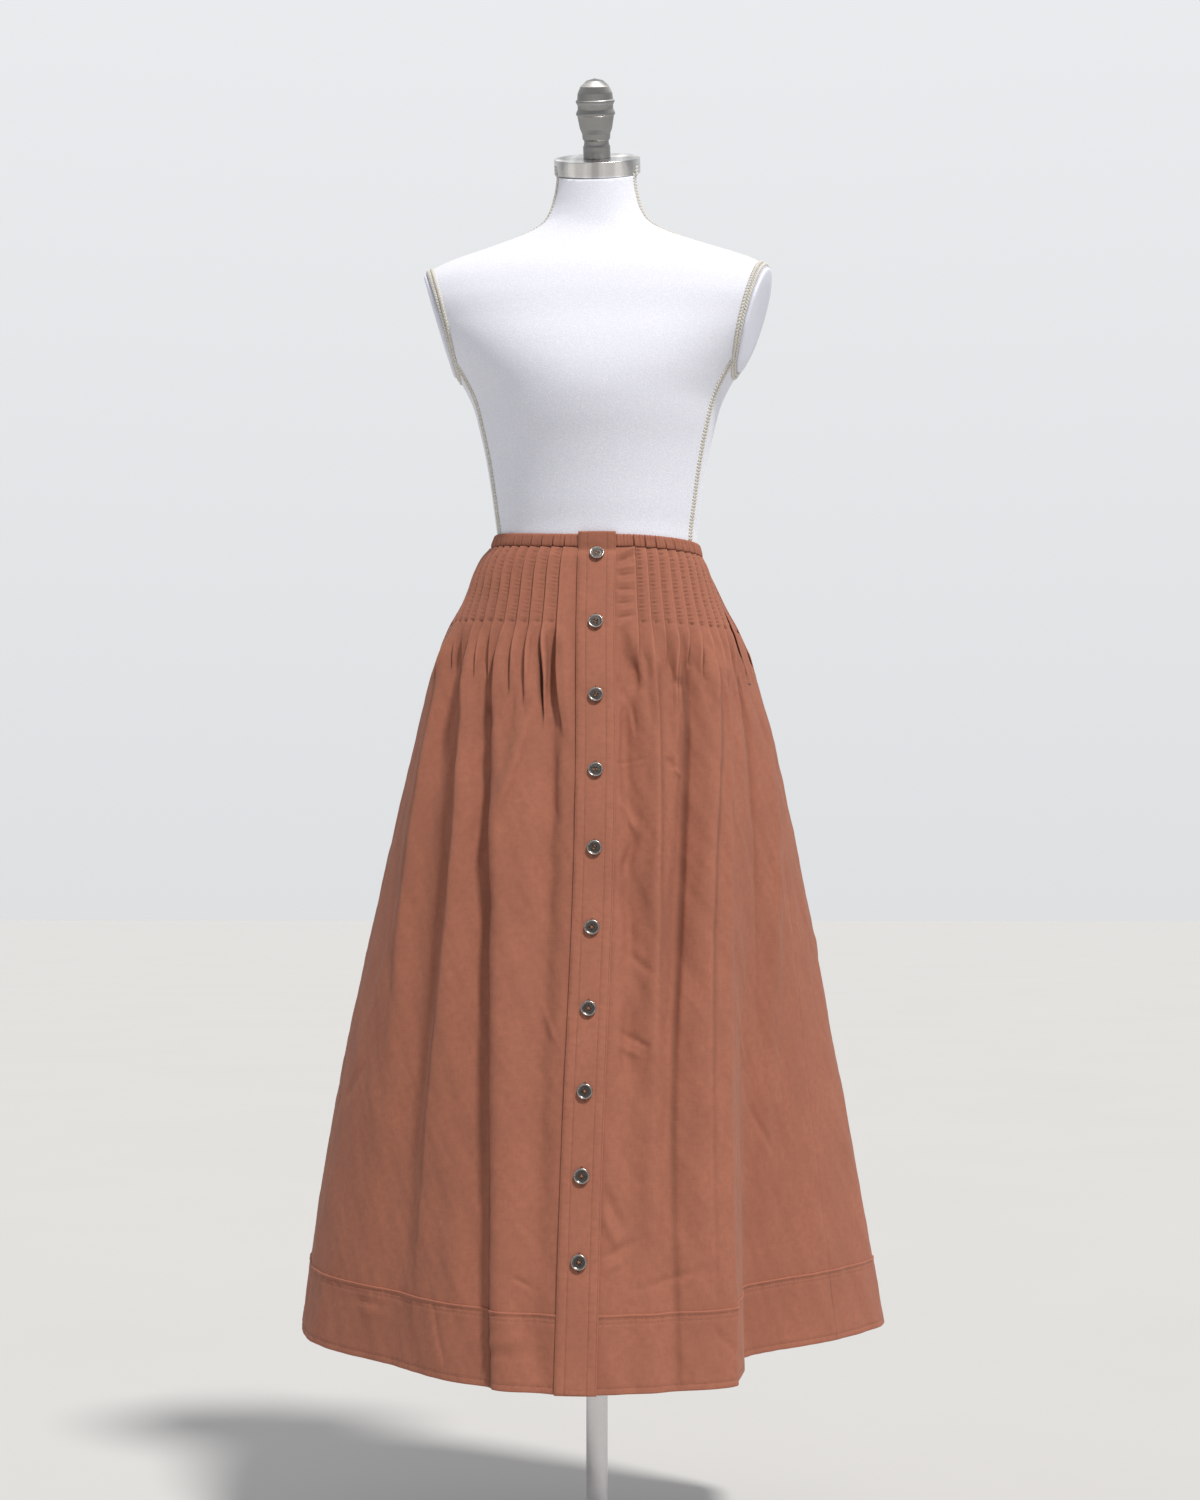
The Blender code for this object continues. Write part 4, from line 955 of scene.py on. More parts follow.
def jersey(name, colour):
    """Knitted cover: fine loops and a faint cool heather."""
    made = Surface(name, colour, 0.9)
    made.set("Specular IOR Level", 0.2)
    made.set("Sheen Weight", 0.25)
    made.set("Sheen Roughness", 0.5)
    speckle = made.noise(made.place(scale=(1, 1, 1.3)), 520.0, 2.0, 0.6)
    patch = made.noise(made.place(), 9.0, 3.0)
    tone = made.blend_colour(made.levels(speckle, 0.42, 0.72, 0.0, 0.6), tuple(colour), (0.93, 0.94, 0.97))
    tone = made.blend_colour(made.levels(patch, 0.35, 0.7, 0.0, 0.25), tone, (0.72, 0.74, 0.82))
    made.paint(tone)
    loops = made.mix_numbers("MULTIPLY", made.bands(made.place(), 0.0011, "Z", 2.0),
                             made.bands(made.place(), 0.0013, "X", 2.0))
    made.bump(loops, 0.30, 0.0002)
    made.bump(speckle, 0.45, 0.0005)
    return made.made


def plate_finish(name, colour):
    """Satin cover of the arm plates."""
    made = Surface(name, colour, 0.5)
    fine = made.noise(made.place(), 300.0, 3.0)
    wide = made.noise(made.place(), 12.0, 3.0)
    made.paint(made.blend_colour(made.levels(wide, 0.35, 0.65, 0, 1), made.tint(0.94), made.tint(1.04)))
    made.rough(made.levels(fine, 0.3, 0.7, 0.42, 0.6))
    made.bump(fine, 0.15, 0.0002)
    return made.made


def brushed(name, colour, rough, turn=(0, 0, 0), stretch=(14, 14, 900), painted_reflection=0.0):
    """Brushed metal with fine lines and faint stains, and on the cap painted reflections as light and dark
    bands.
    """
    made = Surface(name, colour, rough, 1.0)
    along_lines = made.place(turn=turn, scale=tuple(1 / s for s in stretch), kind="TEXTURE")
    lines = made.noise(along_lines, 1.0, 4.0, 0.7)
    stains = made.noise(made.place(), 38.0, 4.0, 0.6)
    tone = made.blend_colour(made.levels(stains, 0.35, 0.7, 0, 1), made.tint(0.95), made.tint(1.04))
    # Painted reflection: dark and bright bands round the cap, put into its colour
    if painted_reflection:
        wide = made.bands(made.place(), 0.048, "X", 1.6)
        narrow = made.bands(made.place(), 0.019, "X", 2.4)
        both = made.mix_numbers("ADD", wide, narrow)
        tone = made.blend_colour(made.levels(both, 0.9, 0.2, 0.0, painted_reflection), tone, made.tint(0.50))
        tone = made.blend_colour(made.levels(both, 1.2, 1.8, 0.0, painted_reflection), tone, made.tint(1.50))
    made.paint(tone)
    made.rough(made.mix_numbers("ADD", made.levels(lines, 0.3, 0.7, rough - 0.08, rough + 0.12),
                                made.levels(stains, 0.4, 0.7, 0.0, 0.08)))
    made.bump(lines, 0.08, 0.0002)
    made.set("Anisotropic", 0.75)
    round_it = made.node("ShaderNodeTangent", direction_type="RADIAL", axis="Z")
    made.link(round_it.outputs["Tangent"], made.shader.inputs["Tangent"])
    return made.made


def button_centre(name, colour):
    """Dark dished middle of a button, finely pitted."""
    made = Surface(name, colour, 0.42, 0.6)
    grain = made.noise(made.place(), 1500.0, 3.0, 0.7)
    cloud = made.noise(made.place(), 260.0, 3.0)
    made.paint(made.blend_colour(made.levels(grain, 0.35, 0.7, 0, 1), made.tint(0.55), made.tint(2.3)))
    made.rough(made.levels(cloud, 0.3, 0.7, 0.28, 0.5))
    made.bump(grain, 0.5, 0.00012)
    return made.made


def button_rim(name, colour):
    """Bright rim of a button, worn in spots."""
    made = Surface(name, colour, 0.24, 1.0)
    wear_and_painted_light = made.noise(made.place(), 700.0, 4.0, 0.65)
    made.paint(made.blend_colour(made.levels(wear_and_painted_light, 0.35, 0.7, 0, 1), made.tint(0.7), made.tint(1.25)))
    made.rough(made.levels(wear_and_painted_light, 0.3, 0.7, 0.16, 0.36))
    made.bump(wear_and_painted_light, 0.2, 0.0001)
    return made.made


def floor_finish(name, colour):
    """Plain pale floor with a faint grain."""
    made = Surface(name, colour, 0.75)
    cloud = made.noise(made.place(), 1.2, 4.0)
    grain = made.noise(made.place(), 420.0, 2.0)
    made.paint(made.blend_colour(made.levels(cloud, 0.3, 0.7, 0, 1), made.tint(0.985), made.tint(1.01)))
    made.bump(grain, 0.08, 0.0004)
    return made.made


LOOKS = {}


def look(name):
    """The finish of that name, made the first time it is asked for."""
    if name in LOOKS:
        return LOOKS[name]
    have, form, button = sizes().cloth, sizes().form, sizes().button
    tilt = math.radians(NECK_TILT)
    makers = {
        "cotton": lambda: cotton("Rust cotton", have.colour),
        "strip": lambda: cotton("Rust cotton strip", tuple(c * 1.03 for c in have.colour), 0.7),
        "pocket": lambda: cotton("Pocket cotton", have.pocket_colour, 0.6),
        "thread": lambda: thread_finish("Rust thread", have.thread_colour),
        "button_thread": lambda: thread_finish("Button thread", button.thread_colour),
        "button_centre": lambda: button_centre("Dark dished metal", button.centre_colour),
        "button_rim": lambda: button_rim("Bright metal rim", button.rim_colour),
        "jersey": lambda: jersey("White jersey", form.jersey_colour),
        "plate": lambda: plate_finish("White satin plate", form.jersey_colour),
        "braid": lambda: thread_finish("Cream braid", form.braid_colour, 0.62),
        "cap": lambda: brushed("Brushed cap metal", form.metal_colour, 0.24, (tilt, 0, 0),
                               painted_reflection=0.6),
        "finial": lambda: brushed("Dull finial metal", tuple(c * 0.56 for c in form.metal_colour), 0.42,
                                  (tilt, 0, 0)),
        "pole": lambda: brushed("Satin pole metal", form.pole_colour, 0.36),
        "base": lambda: brushed("Satin base metal", form.pole_colour, 0.42, (0, 0, 0), (600, 14, 14)),
    }
    LOOKS[name] = makers[name]()
    return LOOKS[name]


def place_piece(thing, replaced=()):
    """Puts a finished piece on the root body and hides the solids that it stands for."""
    if not len(thing.data.polygons):
        raise RuntimeError("nothing was made for " + thing.name)
    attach(thing, "root")
    if replaced:
        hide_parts(*replaced)
    return thing


def bead_tree(name, segments, rings):
    """Node tree that puts a small rounded bead on each point, along its aim."""
    tree = bpy.data.node_groups.new(name, "GeometryNodeTree")
    face = tree.interface
    face.new_socket("Geometry", in_out="INPUT", socket_type="NodeSocketGeometry")
    for label in ("Length", "Width", "Height"):
        face.new_socket(label, in_out="INPUT", socket_type="NodeSocketFloat")
    face.new_socket("Finish", in_out="INPUT", socket_type="NodeSocketMaterial")
    face.new_socket("Geometry", in_out="OUTPUT", socket_type="NodeSocketGeometry")
    make, join = tree.nodes.new, tree.links.new
    given, result = make("NodeGroupInput"), make("NodeGroupOutput")
    ball = make("GeometryNodeMeshUVSphere")
    ball.inputs["Segments"].default_value = segments
    ball.inputs["Rings"].default_value = rings
    ball.inputs["Radius"].default_value = 0.5
    aim, up = make("GeometryNodeInputNamedAttribute"), make("GeometryNodeInputNamedAttribute")
    for node, label in ((aim, "aim"), (up, "up")):
        node.data_type = "FLOAT_VECTOR"
        node.inputs["Name"].default_value = label
    turn = make("FunctionNodeAxesToRotation")
    turn.primary_axis, turn.secondary_axis = "X", "Z"
    join(aim.outputs["Attribute"], turn.inputs["Primary Axis"])
    join(up.outputs["Attribute"], turn.inputs["Secondary Axis"])
    size = make("ShaderNodeCombineXYZ")
    for axis, label in zip("XYZ", ("Length", "Width", "Height")):
        join(given.outputs[label], size.inputs[axis])
    spread_out = make("GeometryNodeInstanceOnPoints")
    join(given.outputs["Geometry"], spread_out.inputs["Points"])
    join(ball.outputs["Mesh"], spread_out.inputs["Instance"])
    join(turn.outputs["Rotation"], spread_out.inputs["Rotation"])
    join(size.outputs["Vector"], spread_out.inputs["Scale"])
    real = make("GeometryNodeRealizeInstances")
    smooth = make("GeometryNodeSetShadeSmooth")
    finish = make("GeometryNodeSetMaterial")
    join(spread_out.outputs["Instances"], real.inputs["Geometry"])
    join(real.outputs["Geometry"], smooth.inputs["Geometry"])
    join(smooth.outputs["Geometry"], finish.inputs["Geometry"])
    join(given.outputs["Finish"], finish.inputs["Material"])
    join(finish.outputs["Geometry"], result.inputs["Geometry"])
    return tree


def beads(name, points, aims, ups, size, finish, segments=6, rings=4):
    """Plain mesh of beads laid along a seam, made by the node tree and then baked."""
    mesh = bpy.data.meshes.new(name + "_points")
    mesh.from_pydata([tuple(p) for p in points], [], [])
    for label, values in (("aim", aims), ("up", ups)):
        layer = mesh.attributes.new(label, "FLOAT_VECTOR", "POINT")
        layer.data.foreach_set("vector", np.asarray(values, np.float32).ravel())
    thing = linked(name, mesh)
    tree = bead_tree(name + " beads", segments, rings)
    changer = thing.modifiers.new("beads", "NODES")
    changer.node_group = tree
    wanted = dict(zip(("Length", "Width", "Height"), size), Finish=look(finish))
    for item in tree.interface.items_tree:
        if item.in_out == "INPUT" and item.name in wanted:
            changer[item.identifier] = wanted[item.name]
    seen = thing.evaluated_get(bpy.context.evaluated_depsgraph_get())
    baked = bpy.data.meshes.new_from_object(seen)
    thing.modifiers.clear()
    thing.data = baked
    baked.name = name
    for label in ("aim", "up"):
        if label in baked.attributes:
            baked.attributes.remove(baked.attributes[label])
    bpy.data.meshes.remove(mesh)
    return thing


def run_of(points, normals, pitch):
    """Places, directions and normals of stitches one pitch apart along a line of close points."""
    walked = np.concatenate([[0.0], np.cumsum(np.linalg.norm(np.diff(points, axis=0), axis=1))])
    spots = np.arange(pitch * 0.5, walked[-1], pitch)
    made = np.stack([np.interp(spots, walked, points[:, k]) for k in range(3)], -1)
    share = walked / walked[-1]
    up = np.stack([np.interp(spots / walked[-1], share, normals[:, k]) for k in range(3)], -1)
    ahead = np.gradient(made, axis=0)
    ahead /= np.linalg.norm(ahead, axis=1, keepdims=True)
    up /= np.linalg.norm(up, axis=1, keepdims=True)
    return made, ahead, up


def panel_heights(tucked, loose):
    """Heights of a panel's rows, close among the stitched tucks and wider below them."""
    turn = 1.040
    return np.concatenate([np.linspace(BAND_LOW - SEAM, turn, tucked),
                           np.linspace(turn, HEM_SEAM + SEAM, loose)[1:]])


def cloth_panel(name, z, q, up, mark, node, cut, area):
    """Panel shell, its top drawn in under the waistband."""
    tall = z[:, None]
    points = cloth(q, tall, up + small_relief(q, tall))
    tucked_in = 0.0012 * step(tall, BAND_LOW - 0.0012, BAND_LOW - SEAM)
    points = points + cloth(q, tall, -tucked_in) - cloth(q, tall)
    mark = mark + fold_edges(q, tall)[1]
    made = grid_piece(name, points, flat_place(q, tall, PANEL_DEGREE), mark, "cotton")
    place_piece(made, (node,))


def make_front_panel(name, side, node, cut, area):
    z = panel_heights(100, 290)
    zone, middle_count = (0, 10) if side < 0 else (1, 18)
    columns = tuck_columns(z, zone, panel_edge(z, side), panel_seam(z, side), middle_count, 8)
    columns = turned_edge(*columns, z, side)
    if side < 0:
        columns = [made[:, ::-1] for made in columns]
    cloth_panel(name, z, *columns, node, cut, area)


def make_back_panel():
    z = panel_heights(74, 200)
    seam = SIDE_SEAM + seam_gap(z)
    flat = np.full(len(z), 180.0)
    left = turned_edge(*tuck_columns(z, 2, flat, seam, 9, 7), z, -1)
    right = turned_edge(*tuck_columns(z, 3, -flat, -seam, 9, 7), z, 1)
    q, up, mark = (np.concatenate([one[:, ::-1], other[:, 1:] + turn], 1)
                   for one, other, turn in zip(left, right, (360, 0, 0)))
    cloth_panel("back_cloth", z, q, up, mark, "back_panel", (1.16, 0.83), 0.86)


# Hem band section, from the inside top round the lower edge to the seam ridge outside
HEM_SECTION = table("z out", [
    (0.3330, -0.0015), (0.3180, -0.0014), (0.3000, -0.0014), (0.2820, -0.0013), (0.2660, -0.0013),
    (0.2592, -0.0012), (0.2582, -0.0008), (0.2579, -0.0003), (0.2580, 0.0002), (0.2586, 0.0006),
    (0.2598, 0.0007), (0.2616, 0.0006), (0.2634, 0.0005), (0.2645, 0.0002), (0.2656, 0.0005),
    (0.2680, 0.0005), (0.2725, 0.0004), (0.2775, 0.0004), (0.2825, 0.0004), (0.2875, 0.0004),
    (0.2925, 0.0004), (0.2975, 0.0004), (0.3025, 0.0004), (0.3075, 0.0004), (0.3125, 0.0004),
    (0.3170, 0.0005), (0.3210, 0.0006), (0.3240, 0.0007), (0.3252, 0.0004), (0.3264, 0.0007),
    (0.3280, 0.0007), (0.3291, 0.0004), (0.3302, 0.0008), (0.3314, 0.0013), (0.3324, 0.0016),
    (0.3332, 0.0014), (0.3336, 0.0006)])
HEM_ROWS_OF_STITCHES = (0.3291, 0.3252, 0.2645)


def make_hem_band(name, low, high, stations, node):
    t = np.linspace(0, 1, stations)[:, None]
    z, out = HEM_SECTION["z"][None, :], HEM_SECTION["out"][None, :]
    q = low(z) + t * (high(z) - low(z))
    sewn = sum(bell((z - row) / 0.0022) for row in HEM_ROWS_OF_STITCHES)
    run = q * 0.0054
    pucker = 0.00012 * sewn * (np.sin(2 * np.pi * run / 0.0056) + 0.7 * np.sin(2 * np.pi * run / 0.0093 + 1))
    points = cloth(q, z, out + small_relief(q, z) + pucker)
    # Painted highlight along the top fold and the lower edge of the hem band
    lit = (bell((z - 0.3326) / 0.0008) + bell((z - 0.2583) / 0.0006)) * 0.6
    mark = lit + fold_edges(q, np.broadcast_to(z, q.shape))[1]
    made = loop_piece(name, points, flat_place(q, z, HEM_DEGREE), mark, "cotton")
    place_piece(made, (node,))


# Groove at each tuck that the waistband catches, and the roll of cloth beside it
GROOVE_DEEP = 0.0017
GROOVE_WIDE = 0.0008
ROLL_HIGH = 0.0007
ROLL_WIDE = 0.0036

# Waistband section: height, distance from the form, and how much it ripples
BAND_SECTION = table("z out ripple", [
    (1.1359, 0.0002, 0.0), (1.1425, 0.0002, 0.0), (1.1494, 0.0002, 0.0), (1.1500, 0.0008, 0.3),
    (1.1503, 0.0015, 0.7), (1.1500, 0.0023, 0.9), (1.1491, 0.0029, 1.0), (1.1478, 0.0032, 1.0),
    (1.1460, 0.0034, 1.0), (1.1440, 0.0035, 1.0), (1.1420, 0.0036, 1.0), (1.1402, 0.0036, 1.0),
    (1.1385, 0.0036, 1.0), (1.1370, 0.0035, 1.0), (1.1360, 0.0032, 1.0), (1.1356, 0.0024, 0.8),
    (1.1357, 0.0010, 0.3)])


def make_waistband(name, low, high, stations, zones, gather, node):
    t = np.linspace(0, 1, stations)[:, None]
    q = low + t * (high - low)
    z, out = BAND_SECTION["z"][None, :], BAND_SECTION["out"][None, :]
    length = degree_length(q, np.array(BAND_LOW))
    grooves, mark = np.zeros(q.shape), np.zeros(q.shape)
    for zone in zones:
        for k in range(int(TUCKS["count"][zone])):
            line = TUCKS["start"][zone] + k * TUCKS["step"][zone]
            away = wrap(q - line) * length
            tilted = away - np.sign(TUCKS["step"][zone]) * 0.0002
            grooves = grooves - GROOVE_DEEP * bell(tilted / GROOVE_WIDE) + ROLL_HIGH * bell(away / ROLL_WIDE)
            # Painted shade in each groove
            mark = mark - 0.9 * bell(tilted / 0.0007)
    run = q * float(length.mean())
    gathers = gather * (0.00032 * np.sin(2 * np.pi * run / 0.0034 + 1.5 * np.sin(run / 0.009))
                        + 0.00020 * np.sin(2 * np.pi * run / 0.0059 + 2.0))
    low_down = step(-z, -1.1500, -1.1375)
    wave = grooves * (0.45 + 0.75 * low_down) + gathers * (1.15 - 0.6 * low_down)
    out = out + wave * BAND_SECTION["ripple"][None, :]
    q = np.broadcast_to(q, out.shape)
    points = band_base(q, np.broadcast_to(z, q.shape), out)
    at_foot = np.full(q.shape, BAND_LOW)
    flush = cloth(q, at_foot, 0.0006) - band_base(q, at_foot, BAND_OUT)
    points = points + flush * (low_down * step(out, 0.0004, 0.0028))[..., None]
    top = BAND_SECTION["z"][None, :] > 1.149
    points[..., 2] += np.where(top, 0.45 * wave, 0)
    # The painted groove shade fades up the band, and a painted highlight runs along its top fold
    mark = mark * (0.35 + 0.65 * low_down) * step(out, 0.0004, 0.0015) + 0.45 * bell((z - 1.1492) / 0.0010)
    made = loop_piece(name, points, flat_place(q, z, BAND_DEGREE), mark, "cotton")
    place_piece(made, (node,))


# Half of the placket's section, from its left edge: distance in, height, and seam share
PLACKET_SECTION = table("inward out sewn", [
    (0.0030, 0.0005, 0.0), (0.0003, 0.0005, 0.0), (-0.0001, 0.0009, 0.0), (-0.0001, 0.0018, 0.0),
    (0.0002, 0.0025, 0.3), (0.0008, 0.0029, 0.8), (0.0013, 0.0026, 1.0), (0.0018, 0.0029, 1.0),
    (0.0032, 0.0032, 0.8), (0.0050, 0.0033, 0.7), (0.0070, 0.0033, 0.7), (0.0086, 0.0032, 0.8),
    (0.0095, 0.0030, 1.0), (0.0100, 0.0027, 1.0), (0.0105, 0.0030, 1.0), (0.0120, 0.0031, 0.5),
    (0.0145, 0.0030, 0.1), (0.0180, 0.0030, 0.0)])
STITCH_ROWS = (0.0013, 0.0100)
PLACKET_TOP = WAIST_TOP + PLACKET_RISE
PLACKET_FOOT = HEM_LOW - 0.001
FOOT_FOLD = 0.0050


def placket_angle(z, inward, side):
    low, high = strip_edges(z)
    share = (high - low) * inward / PLACKET_WIDTH
    return low + share if side < 0 else high - share


def placket_relief(q, z):
    """Soft swell of the strip between its buttons, and a pinch at each of them."""
    total = 0.45 * ripple(q, z, 12, STRIP_CRUMPLE)
    for height in button_heights():
        total = total - 0.0004 * bell((z - height) / 0.010)
    return total


def button_heights():
    """Heights of the buttons, one pitch apart along the placket."""
    z = np.linspace(BUTTON_FIRST, HEM_LOW, 400)
    line = strip_point(centre(z), z, 0.0)
    walked = np.concatenate([[0.0], np.cumsum(np.linalg.norm(np.diff(line, axis=0), axis=1))])
    return [float(h) for h in np.interp(BUTTON_PITCH * np.arange(BUTTON_COUNT), walked, z)]


def make_placket():
    """Top strip, pinched at its buttons, with the waistband's seam and the turned-up foot."""
    ends = np.array([0.0, 0.0003, 0.0008, 0.0015])
    z = np.concatenate([PLACKET_TOP - ends, np.linspace(PLACKET_TOP - 0.003, PLACKET_FOOT + 0.003, 410),
                        PLACKET_FOOT + ends[::-1]])[:, None]
    half = PLACKET_SECTION
    q = np.concatenate([placket_angle(z, half["inward"][None, :], -1),
                        placket_angle(z, half["inward"][None, ::-1], 1)], 1)
    out = np.concatenate([half["out"], half["out"][::-1]])[None, :]
    sewn = np.concatenate([half["sewn"], half["sewn"][::-1]])[None, :]
    face = out > 0.0022
    waves = np.sin(2 * np.pi * z / 0.0052 + 0.03 * q) + 0.8 * np.sin(2 * np.pi * z / 0.0083 + q)
    puckers = 0.00013 * sewn * waves
    out = out + np.where(face, puckers, 0)
    out = out + np.where(face, placket_relief(q, z) * step(out, 0.0022, 0.0030), 0)
    to_end = np.minimum(PLACKET_TOP - z, z - PLACKET_FOOT)
    slim = np.sqrt(np.clip(to_end / 0.0015, 0.08, 1))
    out = 0.0019 + (out - 0.0019) * slim
    across = (q - strip_edges(z)[0]) / (strip_edges(z)[1] - strip_edges(z)[0])
    joint = bell((z - 1.1375 - 0.0006 * across) / 0.0007) * (1 - step(across, 0.50, 0.62))
    low_fold = bell((z - HEM_LOW - FOOT_FOLD) / 0.0007)
    out = out - np.where(face, 0.0007 * joint + 0.0003 * low_fold, 0)
    points = strip_point(q, z, out)
    inward = np.concatenate([half["inward"], half["inward"][::-1]])
    # Painted highlight on the folded edges, painted shade in the stitch grooves and at the waistband's seam
    edge = bell((inward - 0.0002) / 0.0004)
    grooved = bell((inward - STITCH_ROWS[0]) / 0.0004) + bell((inward - STITCH_ROWS[1]) / 0.0004)
    mark = (edge * 0.5 - 0.10 * grooved)[None, :] - 0.5 * joint
    made = loop_piece("placket_cloth", points, flat_place(q, z, STRIP_DEGREE, 2.0), mark, "strip")
    place_piece(made, ("placket",))


def make_button_stand():
    """Under strip, seen at its top edge and from inside."""
    z = np.concatenate([WAIST_TOP - np.array([0.0, 0.0004, 0.0012]),
                        np.linspace(WAIST_TOP - 0.003, PLACKET_FOOT + 0.004, 220),
                        PLACKET_FOOT + np.array([0.0016, 0.0006, 0.0002])])[:, None]
    gap = degrees_for(SEAM, z)
    low, high = panel_edge(z, -1) + gap, panel_edge(z, 1) - gap
    share = np.array([0.01, 0.0, 0.01, 0.2, 0.5, 0.8, 0.99, 1.0, 0.99, 0.8, 0.5, 0.2])[None, :]
    out = np.array([-0.0013, -0.0004, 0.0006, 0.0007, 0.0007, 0.0007, 0.0006, -0.0004, -0.0013,
                    -0.0014, -0.0014, -0.0014])[None, :]
    q = low + share * (high - low)
    to_end = np.minimum(WAIST_TOP - z, z - PLACKET_FOOT)
    out = -0.0004 + (out + 0.0004) * np.sqrt(np.clip(to_end / 0.0012, 0.1, 1))
    points = strip_point(q, z, out)
    uv = flat_place(q, z, STRIP_DEGREE, 3.0)
    made = loop_piece("button_stand_cloth", points, uv, np.zeros(q.shape), "strip")
    place_piece(made, ("button_stand",))


def make_pocket(name, side, node):
    """Pocket bag with its facing, which shows in the pocket mouth."""
    z = np.linspace(POCKET_TOP, POCKET_FOOT, 90)[:, None]
    seam = side * (SIDE_SEAM + seam_gap(z))
    inner = panel_seam(z, side) - side * (20.0 - 5.0 * step(z, 0.99, 1.09))
    outer = seam + side * 3.0
    across = np.linspace(0, 1, 16)[None, :]
    q = inner + across * (outer - inner)
    q = np.concatenate([q, q[:, ::-1]], 1)
    thick, half = 0.0014, 0.0007
    outside = -(WALL + POCKET_DROP)
    face = np.repeat([outside, outside - thick], across.size)[None, :]
    middle = outside - half
    ends = np.minimum(z - POCKET_FOOT, POCKET_TOP - z)
    face = middle + (face - middle) * np.sqrt(np.clip(ends / 0.0015, 0.1, 1))
    soft = ripple(q, z, 21, POCKET_CRUMPLE)
    points = cloth(q, z, face + np.minimum(soft, 0), 0.0)
    uv = flat_place(q, z, STRIP_DEGREE, 5.0)
    made = loop_piece(name, points if side > 0 else points[:, ::-1], uv, np.zeros(q.shape), "pocket")
    place_piece(made, (node,))


def lathe(name, outline, steps, finish, place=None, sharp=32):
    """Turned body with closed poles and sharp corners kept."""
    outline = np.array(outline, float)
    turn = 2 * np.pi * np.arange(steps) / steps
    rings = np.stack([outline[:, :1] * np.cos(turn), outline[:, :1] * np.sin(turn),
                      np.broadcast_to(outline[:, 1:], (len(outline), steps))], -1)
    corner = np.arange(len(outline) * steps).reshape(len(outline), steps)
    beside = np.roll(corner, -1, axis=1)
    faces = np.stack([corner[:-1], beside[:-1], beside[1:], corner[1:]], -1).reshape(-1, 4)
    shape = bmesh.new()
    verts = [shape.verts.new(p) for p in rings.reshape(-1, 3)]
    for face in faces:
        shape.faces.new([verts[i] for i in face])
    bmesh.ops.remove_doubles(shape, verts=shape.verts, dist=1e-6)
    bmesh.ops.recalc_face_normals(shape, faces=shape.faces)
    if place is not None:
        bmesh.ops.transform(shape, matrix=place, verts=shape.verts)
    mesh = bpy.data.meshes.new(name)
    shape.to_mesh(mesh)
    shape.free()
    for face in mesh.polygons:
        face.use_smooth = True
    mesh.set_sharp_from_angle(angle=math.radians(sharp))
    mesh.materials.append(look(finish))
    return linked(name, mesh)


def bevelled(outline, radius=0.0006, parts=3):
    """Outline with its corners rounded off."""
    made = []
    points = [Vector((r, h)) for r, h in outline]
    for k, here in enumerate(points):
        if k in (0, len(points) - 1) or here.x < 1e-6:
            made.append((here.x, here.y))
            continue
        before, after = points[k - 1] - here, points[k + 1] - here
        reach = min(radius, before.length * 0.45, after.length * 0.45)
        start, end = here + before.normalized() * reach, here + after.normalized() * reach
        for i in range(parts + 1):
            t = i / parts
            spot = start * (1 - t) ** 2 + here * 2 * t * (1 - t) + end * t ** 2
            made.append((spot.x, spot.y))
    return made


def button_mesh():
    """One button with four real holes, dark in the middle and bright at its rim."""
    outline = [(r * BUTTON_RADIUS, h) for r, h in zip(BUTTON["r"], BUTTON["h"])]
    body = lathe("button_master", outline, 56, "button_centre")
    body.data.materials.append(look("button_rim"))
    for face in body.data.polygons:
        reach = math.hypot(face.center.x, face.center.y)
        face.material_index = 1 if reach > 0.73 * BUTTON_RADIUS else 0
    hole, spacing = sizes().button.hole / 2, sizes().button.hole_spacing / 2
    cutters = bmesh.new()
    for x in (-spacing, spacing):
        for y in (-spacing, spacing):
            bmesh.ops.create_cone(cutters, cap_ends=True, segments=18, radius1=hole, radius2=hole,
                                  depth=0.02, matrix=Matrix.Translation((x, y, 0)))
    mesh = bpy.data.meshes.new("button_cutters")
    cutters.to_mesh(mesh)
    cutters.free()
    cutter = linked("button_cutters", mesh)
    drill = body.modifiers.new("holes", "BOOLEAN")
    drill.operation, drill.object, drill.solver = "DIFFERENCE", cutter, "EXACT"
    seen = body.evaluated_get(bpy.context.evaluated_depsgraph_get())
    made = bpy.data.meshes.new_from_object(seen)
    bpy.data.objects.remove(body)
    bpy.data.objects.remove(cutter)
    made.set_sharp_from_angle(angle=math.radians(40))
    return made


def add_tube(shape, path, radius, sides, material):
    """Thread or cord of a path's shape, with round ends, added to a mesh under work."""
    rings = []
    for k, here in enumerate(path):
        ahead = (path[min(k + 1, len(path) - 1)] - path[max(k - 1, 0)]).normalized()
        side = ahead.cross(Vector((0.11, 0.17, 0.98))).normalized()
        up = side.cross(ahead)
        narrow = 0.45 if k in (0, len(path) - 1) else 1.0
        rings.append([shape.verts.new(here + (side * math.cos(a) + up * math.sin(a)) * radius * narrow)
                      for a in (2 * math.pi * i / sides for i in range(sides))])
    for one, two in zip(rings, rings[1:]):
        for i in range(sides):
            face = shape.faces.new((one[i], one[(i + 1) % sides], two[(i + 1) % sides], two[i]))
            face.material_index, face.smooth = material, True
    for ring, flip in ((rings[0], True), (rings[-1], False)):
        face = shape.faces.new(list(reversed(ring)) if flip else ring)
        face.material_index = material


# How each button's thread lies: turn of its two bars in degrees, and whether they cross
BUTTON_THREADS = table("turn cross", [
    (-24, 0), (-12, 0), (-28, 0), (90, 0), (-20, 0), (45, 1), (40, 1), (50, 1), (42, 1), (64, 1)])


THREAD_RADIUS = 0.00017
THREAD_APART = 0.00026
THREAD_ARCH = 0.0024
THREAD_OVER = 0.00022
THREAD_START = -0.0005


